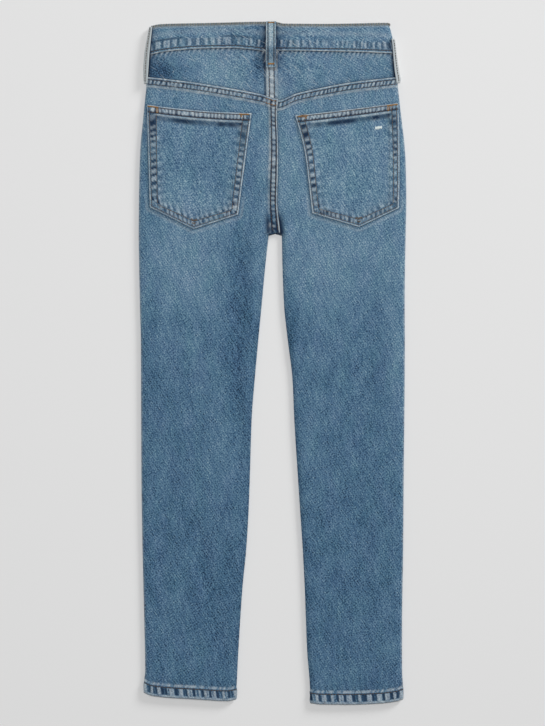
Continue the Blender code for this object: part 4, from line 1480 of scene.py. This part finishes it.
def bartack(surface, start, end, width):
    """A dense zigzag that locks the end of a seam, along a line on a surface."""
    start, end = np.array(start, float), np.array(end, float)
    length = float(np.linalg.norm(end - start))
    count = max(4, round(length / TACK_PITCH))
    share = np.linspace(0.0, 1.0, count + 1)[:, None]
    side = np.array([start[1] - end[1], end[0] - start[0]]) / length * width / 2
    swing = np.where(np.arange(count + 1) % 2 == 0, 1.0, -1.0)[:, None]
    spots = start + (end - start) * share + side * swing
    places, facings = surface(spots[:, 0], spots[:, 1])
    return places, facings, math.hypot(width, length / count), TACK_FAT


def pale_tack():
    """A plain block of pale satin stitches on the right pocket."""

    def surface(across, down):
        return raised(*skin(across, down, "right"), POCKET_GAP + CLOTH)

    return [bartack(surface, (124.9, 130.2), (133.0, 128.8), 4.8)]


def pocket_tacks(side):
    """(mouth, tip) bartacks of a pocket."""
    width, height = POCKET_SIZE
    tip = POCKETS[side]["tip_share"] * width

    def surface(aside, along):
        return pocket_surface(side, aside / width, along / height)

    mouth = [
        bartack(surface, (0.8, 1.5), (12.5, 1.5), 2.2),
        bartack(surface, (11.2, 2.6), (11.2, 8.2), 2.4),
        bartack(surface, (width - 14.0, 1.5), (width - 3.0, 1.5), 2.2),
        bartack(surface, (width - 11.2, 2.6), (width - 11.2, 5.0), 2.0),
    ]
    foot = [
        bartack(surface, (tip - 4.0, height - 8.2), (tip + 4.0, height - 8.2), 1.8),
        bartack(surface, (tip - 2.2, height - 5.2), (tip + 2.2, height - 5.2), 1.6),
    ]
    return mouth, foot


def pocket_rows(side):
    """(golden, brown) rows: double round a pocket, and double along its mouth."""
    golden, brown = [], []
    width, height = POCKET_SIZE
    deepest = height + POCKETS[side]["tip_depth"] * 0.7
    pitch = PITCH[f"{side}_outer"]
    for n in (0, 1):
        outer, inner, foot, mouth = [
            ROWS[f"{side}_{name}"][n] for name in ("outer", "inner", "foot", "mouth")
        ]
        v = np.linspace(0.012, 1.0 - foot / height, 200)
        u = np.linspace(outer / width, 1.0 - inner / width, 240)
        low = u * 0 + 1.0 - foot / deepest
        golden.append((*pocket_surface(side, v * 0 + outer / width, v), pitch, 0.8))
        golden.append((*pocket_surface(side, v * 0 + 1 - inner / width, v), pitch, 0.8))
        golden.append((*pocket_surface(side, u, low), pitch, 0.9))
        u = np.linspace(0.008, 0.992, 240)
        row = (*pocket_surface(side, u, u * 0 + mouth / height), pitch, 1.0)
        (golden, brown)[n].append(row)
    return golden, brown


# Button
def waist_button(material):
    """The cap of the shank button, under the lapped ends of the waistband."""
    down = float(front_waist(np.array(0.0), "top") + front_waist(np.array(0.0), "bottom")) / 2
    profile = [(0.0, 0.35), (3.6, 0.3), (5.2, 0.28), (5.9, 0.05), (6.8, 0.0), (7.5, 0.15)]
    profile += [(8.0, 0.55), (8.0, 1.0), (7.5, 1.45), (6.6, 1.6), (0.0, 1.6)]
    sides = 56
    corners, faces = [], []
    for radius, height in profile:
        for k in range(sides):
            turn = 2 * math.pi * k / sides
            corners.append((radius * math.cos(turn), radius * math.sin(turn), height))
    for n in range(len(profile) - 1):
        for k in range(sides):
            t = (k + 1) % sides
            faces.append((n * sides + k, n * sides + t, (n + 1) * sides + t, (n + 1) * sides + k))
    mesh = bpy.data.meshes.new("brass_button")
    moved = [(x * MM, (y + HALF_LENGTH - down) * MM, z * MM) for x, y, z in corners]
    mesh.from_pydata(moved, [], faces)
    merge_close(mesh)
    face_out(mesh)
    mesh.shade_smooth()
    mesh.materials.append(material)
    made = put("brass_button", mesh)
    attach(made, "root")
    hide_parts("waist_button")


def merge_close(mesh):
    """Joins the points that a turned profile leaves on its axis."""
    bm = bmesh.new()
    bm.from_mesh(mesh)
    bmesh.ops.remove_doubles(bm, verts=bm.verts, dist=1e-7)
    bmesh.ops.dissolve_degenerate(bm, edges=bm.edges, dist=1e-8)
    bm.to_mesh(mesh)
    bm.free()


# Materials
def linear(hex_colour):
    """An sRGB hex colour as the linear values that a shader takes."""
    parts = [int(hex_colour[k : k + 2], 16) / 255 for k in (1, 3, 5)]
    turned = [c / 12.92 if c <= 0.04045 else ((c + 0.055) / 1.055) ** 2.4 for c in parts]
    return (*turned, 1.0)


def fill(tree, node, sockets):
    """Gives a node's inputs, by name or place, their values or links."""
    for name, value in sockets.items():
        if isinstance(value, bpy.types.NodeSocket):
            tree.links.new(value, node.inputs[name])
        else:
            node.inputs[name].default_value = value


def add(tree, kind, output, sockets, **settings):
    """Adds a node with its settings, values and links, and gives one of its outputs."""
    node = tree.nodes.new(f"ShaderNode{kind}")
    for name, value in settings.items():
        setattr(node, name, value)
    fill(tree, node, sockets)
    return node.outputs[output]


def start_material(name):
    """(material, its node tree, its shader)."""
    material = bpy.data.materials.new(name)
    material.use_nodes = True
    return material, material.node_tree, material.node_tree.nodes["Principled BSDF"]


# Grains in the dye, with their sizes in real millimetres. Flecks and streaks lie along the twill,
# which falls to the right on this cloth. Slubs are thick places in the warp. Patches and clouds are
# what the stones and the drum leave, so they are many times coarser than the weave.
GRAINS = {
    "columns": ("across", "along", "turn", "detail", "in_tone", "in_wear", "in_relief"),
    "rows": (
        (1.15, 1.7, -38, 0.0, 1.08, 0.90, 0.5),
        (1.7, 8.0, -26, 0.0, 0.22, 0.30, 0.2),
        (0.9, 26.0, 0, 1.0, 0.25, 0.00, 0.0),
        (13.0, 24.0, 8, 0.0, 0.22, 0.25, 0.0),
        (34.0, 70.0, 0, 1.0, 0.16, 0.00, 0.0),
    ),
}
# Bundles of three twill wales show as one streak where the dye has rubbed off their tops. The
# second row is the broad, slanting marks of the wash, several times coarser than the cloth.
STREAKS = {
    "columns": ("pitch", "turn", "tone", "distortion"),
    "rows": ((2.9, -36.0, 0.14, 2.4), (7.8, -24.0, 0.075, 6.5)),
}
# The wash turns the blue towards green in some upright patches and towards violet in others
TINT_PATCH = (16.0, 40.0)  # mm
TINT_GREEN = "#eefff6"
TINT_VIOLET = "#fff8ff"
# Thin pale lines where the top was folded over in the drum: width, length and turn of each kind
SCRATCHES = ((1.2, 24.0, -40), (1.2, 18.0, -62), (1.1, 9.0, 28))
SCRATCH_FROM = 0.73
SCRATCH_TO = 0.88
SCRATCH_WEAR = 0.50
SCRATCH_LEAST = 0.05 * SCRATCH_WEAR
# Metres above the middle of the garment, between which the scratches set in
SCRATCH_LOW = 0.27
SCRATCH_HIGH = 0.33
GRAIN_DEEP = 6.0  # mm through the cloth, for every grain
DYE_STOPS = (
    (0.0, "#0e253c"),
    (0.3, "#3b5e7e"),
    (0.4, "#4d6f8d"),
    (0.5, "#597892"),
    (0.7, "#6e8da4"),
    (1.0, "#a5b9c5"),
)
# Twill wales are 1.1 mm apart on 12 oz denim: pitch, turn, distortion, and how much finer that is
WALE = (1.1, -36.0, 1.2, 2.0)
WALE_SHARE = 0.35
WALE_DEEP = 0.35  # mm
THREAD_TWIST = 0.5  # mm
# The dark colour stands for unworn indigo and for painted shade alike.
DYE_DEEP_AND_SHADE = "#122a44"
DYE_WORN = "#c1cace"
DYE_INSIDE = "#bcc2c3"


def grains(tree, place, across, along, detail):
    """Noise whose grains are this size in mm."""
    scale = (1 / (across * MM), 1 / (along * MM), 1 / (GRAIN_DEEP * MM))
    sized = add(tree, "VectorMath", "Vector", {0: place, 1: scale}, operation="MULTIPLY")
    return add(tree, "TexNoise", "Fac", {"Vector": sized, "Scale": 1.0, "Detail": detail})


def turned_grains(tree, place, across, along, turn, detail):
    """Noise whose grains are this size in mm and turned by some degrees."""
    turned = {"Vector": place, "Rotation": (0.0, 0.0, math.radians(turn))}
    return grains(tree, add(tree, "Mapping", "Vector", turned), across, along, detail)


def wave_scale(pitch):
    """The scale at which a wave texture repeats every so many mm."""
    return 2 * math.pi / (20 * pitch * MM)


def slanted(tree, place, pitch, turn, distortion, finer):
    """Uneven stripes at this pitch in mm, turned by some degrees."""
    turned = {"Vector": place, "Rotation": (0.0, 0.0, math.radians(turn))}
    turned = add(tree, "Mapping", "Vector", turned)
    wave = {"Vector": turned, "Scale": wave_scale(pitch), "Distortion": distortion}
    wave.update({"Detail": 1.0, "Detail Scale": finer})
    return add(tree, "TexWave", "Fac", wave, bands_direction="X")


def mixed_in(tree, pattern, weights, sums):
    """Each sum with the pattern added to it, less the pattern's mean of a half, by its weight."""
    centred = add(tree, "Math", 0, {0: pattern, 1: -0.5}, operation="ADD")
    return [
        add(tree, "Math", 0, {0: centred, 1: weight, 2: total}, operation="MULTIPLY_ADD")
        if weight
        else total
        for weight, total in zip(weights, sums)
    ]


def patchy(tree, shader, place, scale, detail, low, high):
    """Two tones in small patches, as the colour of a shader."""
    patch = add(tree, "TexNoise", "Fac", {"Vector": place, "Scale": scale, "Detail": detail})
    tones = {0: patch, 6: linear(low), 7: linear(high)}
    fill(tree, shader, {"Base Color": add(tree, "Mix", 2, tones, data_type="RGBA")})


def washed_denim():
    """Cotton denim, rope-dyed indigo twill, stone washed: pale on ridges, darker in pits, with
    painted shade mixed into the dark colour.
    """
    material, tree, shader = start_material("stone_washed_denim")
    place = add(tree, "TexCoord", "Object", {})
    fade, wear, deep_and_shade, inside, cut = [
        add(tree, "Attribute", "Fac", {}, attribute_name=name) for name in DYE_KEYS
    ]
    on_cut = {"Vector": place, "Angle": cut}
    grained = add(tree, "VectorRotate", "Vector", on_cut, rotation_type="Z_AXIS")
    sums = [0.5, 1.0, 0.5]
    for across, along, turn, detail, *weights in GRAINS["rows"]:
        noise = turned_grains(tree, grained, across, along, turn, detail)
        sums = mixed_in(tree, noise, weights, sums)
    for pitch, turn, strength, distortion in STREAKS["rows"]:
        streak = slanted(tree, grained, pitch, turn, distortion, 1.0)
        sums = mixed_in(tree, streak, (strength, 0.0, 0.0), sums)
    tone, grain, uneven = sums
    up = add(tree, "SeparateXYZ", "Y", {"Vector": place})
    reach = {"Value": up, "From Min": SCRATCH_LOW, "From Max": SCRATCH_HIGH}
    reach.update({"To Min": SCRATCH_LEAST, "To Max": SCRATCH_WEAR})
    near_top = add(tree, "MapRange", "Result", reach)
    for across, along, turn in SCRATCHES:
        noise = turned_grains(tree, place, across, along, turn, 0.0)
        reach = {"Value": noise, "From Min": SCRATCH_FROM, "From Max": SCRATCH_TO}
        line = add(tree, "MapRange", "Result", {**reach, "To Max": near_top})
        wear = add(tree, "Math", 0, {0: wear, 1: line}, operation="ADD")
    tone = add(tree, "Math", 0, {0: tone, 1: fade}, operation="ADD")
    dyed = add(tree, "ValToRGB", "Color", {"Fac": tone})
    elements = dyed.node.color_ramp.elements
    while len(elements) < len(DYE_STOPS):
        elements.new(0.5)
    for element, (spot, colour) in zip(elements, DYE_STOPS):
        element.position = spot
        element.color = linear(colour)
    patch = grains(tree, place, *TINT_PATCH, 1.0)
    tint = {0: patch, 6: linear(TINT_GREEN), 7: linear(TINT_VIOLET)}
    tint = add(tree, "Mix", 2, tint, data_type="RGBA")
    colour = {0: 1.0, 6: dyed, 7: tint}
    colour = add(tree, "Mix", 2, colour, data_type="RGBA", blend_type="MULTIPLY")
    shares = [
        add(tree, "Math", 0, {0: amount, 1: grain}, operation="MULTIPLY", use_clamp=True)
        for amount in (deep_and_shade, wear)
    ]
    for share, over in zip((*shares, inside), (DYE_DEEP_AND_SHADE, DYE_WORN, DYE_INSIDE)):
        colour = add(tree, "Mix", 2, {0: share, 6: colour, 7: linear(over)}, data_type="RGBA")
    wale = {0: slanted(tree, place, *WALE), 1: WALE_SHARE, 2: uneven}
    height = add(tree, "Math", 0, wale, operation="MULTIPLY_ADD")
    bumps = {"Height": height, "Strength": 0.6, "Distance": WALE_DEEP * MM}
    fill(tree, shader, {"Base Color": colour, "Normal": add(tree, "Bump", "Normal", bumps)})
    fill(tree, shader, {"Roughness": 0.88, "Specular IOR Level": 0.25})
    fill(tree, shader, {"Sheen Weight": 0.10, "Sheen Roughness": 0.5})
    fill(tree, shader, {"Sheen Tint": linear("#c4d6e6")})
    return material


def topstitch(name, base, worn):
    """Spun polyester thread: matt, twisted, rubbed paler in places."""
    material, tree, shader = start_material(name)
    place = add(tree, "TexCoord", "Object", {})
    patchy(tree, shader, place, 260.0, 2.0, base, worn)
    twist = {"Vector": place, "Scale": wave_scale(THREAD_TWIST)}
    twist = add(tree, "TexWave", "Fac", twist, bands_direction="DIAGONAL")
    bumps = {"Height": twist, "Strength": 0.4, "Distance": 0.1 * MM}
    fill(tree, shader, {"Normal": add(tree, "Bump", "Normal", bumps), "Roughness": 0.6})
    return material


def antique_brass():
    """Plated brass, tumbled: dull in the hollows, brighter where rubbed."""
    material, tree, shader = start_material("antique_brass")
    patchy(tree, shader, add(tree, "TexCoord", "Object", {}), 900.0, 3.0, "#6b5132", "#b08c55")
    fill(tree, shader, {"Metallic": 1.0, "Roughness": 0.38})
    return material


def paper(name, colour):
    """Matt studio paper."""
    material, tree, shader = start_material(name)
    fill(tree, shader, {"Base Color": linear(colour), "Roughness": 0.95})
    fill(tree, shader, {"Specular IOR Level": 0.1})
    return material


# Studio
PIXEL = 1.22 * MM  # of the surface, seen in the photograph's frame
FRAME_HEIGHT = 726 * PIXEL
CAMERA_HEIGHT = 3.2
SENSOR = 36.0
FLOOR_HALF = 4.0
FLOOR_LOW = 0.0002  # the floor lies a hair under the cloth
WORLD_LIGHT = 0.24
# name, place, size and power of each lamp: a broad one overhead, and one low in the upper right
LAMPS = (
    ("overhead", (-0.1, 0.55, 4.2), 1.2, 86.0),
    ("key", (4.3, 4.4, 2.5), 2.2, 240.0),
)


def studio():
    """A pale floor, a broad lamp above, a low one to the right, and a camera straight above."""
    mesh = bpy.data.meshes.new("floor")
    turns = ((-1, -1), (1, -1), (1, 1), (-1, 1))
    corners = [(x * FLOOR_HALF, y * FLOOR_HALF, -FLOOR_LOW) for x, y in turns]
    mesh.from_pydata(corners, [], [(0, 1, 2, 3)])
    mesh.materials.append(paper("studio_paper", "#e9e9e9"))
    floor = put("floor", mesh)
    world = bpy.data.worlds.new("studio")
    world.use_nodes = True
    light = {"Color": (1, 1, 1, 1), "Strength": WORLD_LIGHT}
    fill(world.node_tree, world.node_tree.nodes["Background"], light)
    bpy.context.scene.world = world
    for name, place, size, energy in LAMPS:
        lamp = bpy.data.lights.new(name, "AREA")
        lamp.shape = "DISK"
        lamp.size = size
        lamp.energy = energy
        hung = put(name, lamp)
        hung.location = place
        hung.rotation_mode = "QUATERNION"
        hung.rotation_quaternion = (-Vector(place)).to_track_quat("-Z", "Y")
    data = bpy.data.cameras.new("camera")
    data.sensor_width = SENSOR
    data.lens = SENSOR * CAMERA_HEIGHT / FRAME_HEIGHT
    data.clip_end = 50.0
    camera = put("camera", data)
    camera.location = (0.0, 0.0004, CAMERA_HEIGHT)
    bpy.context.scene.camera = camera
    bpy.context.scene.view_settings.view_transform = "Standard"


def main():
    """Sets up the studio, then makes the pieces, their threads and the button."""
    studio()
    denim = washed_denim()
    brown = topstitch("brown_topstitch", "#231c1d", "#5f5147")
    golden = topstitch("golden_topstitch", "#734a20", "#b48641")
    tan = topstitch("tan_topstitch", "#5a5b59", "#a9aba5")
    bronze = topstitch("bronze_topstitch", "#453830", "#7f6a54")
    white = topstitch("white_topstitch", "#cfdcdc", "#f2fbfa")
    for side in ("left", "right"):
        back_leg(side)
        yoke(side)
        back_pocket(side)
        front_leg(side)
        side_loop(side)
    waistband()
    centre_loop()
    fly_shield()
    for piece in bpy.data.objects:
        if piece.name.startswith("denim_"):
            piece.data.materials.append(denim)
    for name, rows in seam_rows().items():
        sew(name, rows, tan if name == TOP_ROW else brown)
    for side in ("left", "right"):
        light, dark = pocket_rows(side)
        mouth_tacks, tip_tacks = pocket_tacks(side)
        sew(f"thread_pocket_{side}", light + tip_tacks, bronze)
        sew(f"thread_tacks_{side}", mouth_tacks, golden)
        sew(f"thread_mouth_{side}", dark, brown)
    sew("thread_centre", golden_rows(), golden)
    sew("thread_pale_tack", pale_tack(), white)
    waist_button(antique_brass())


main()
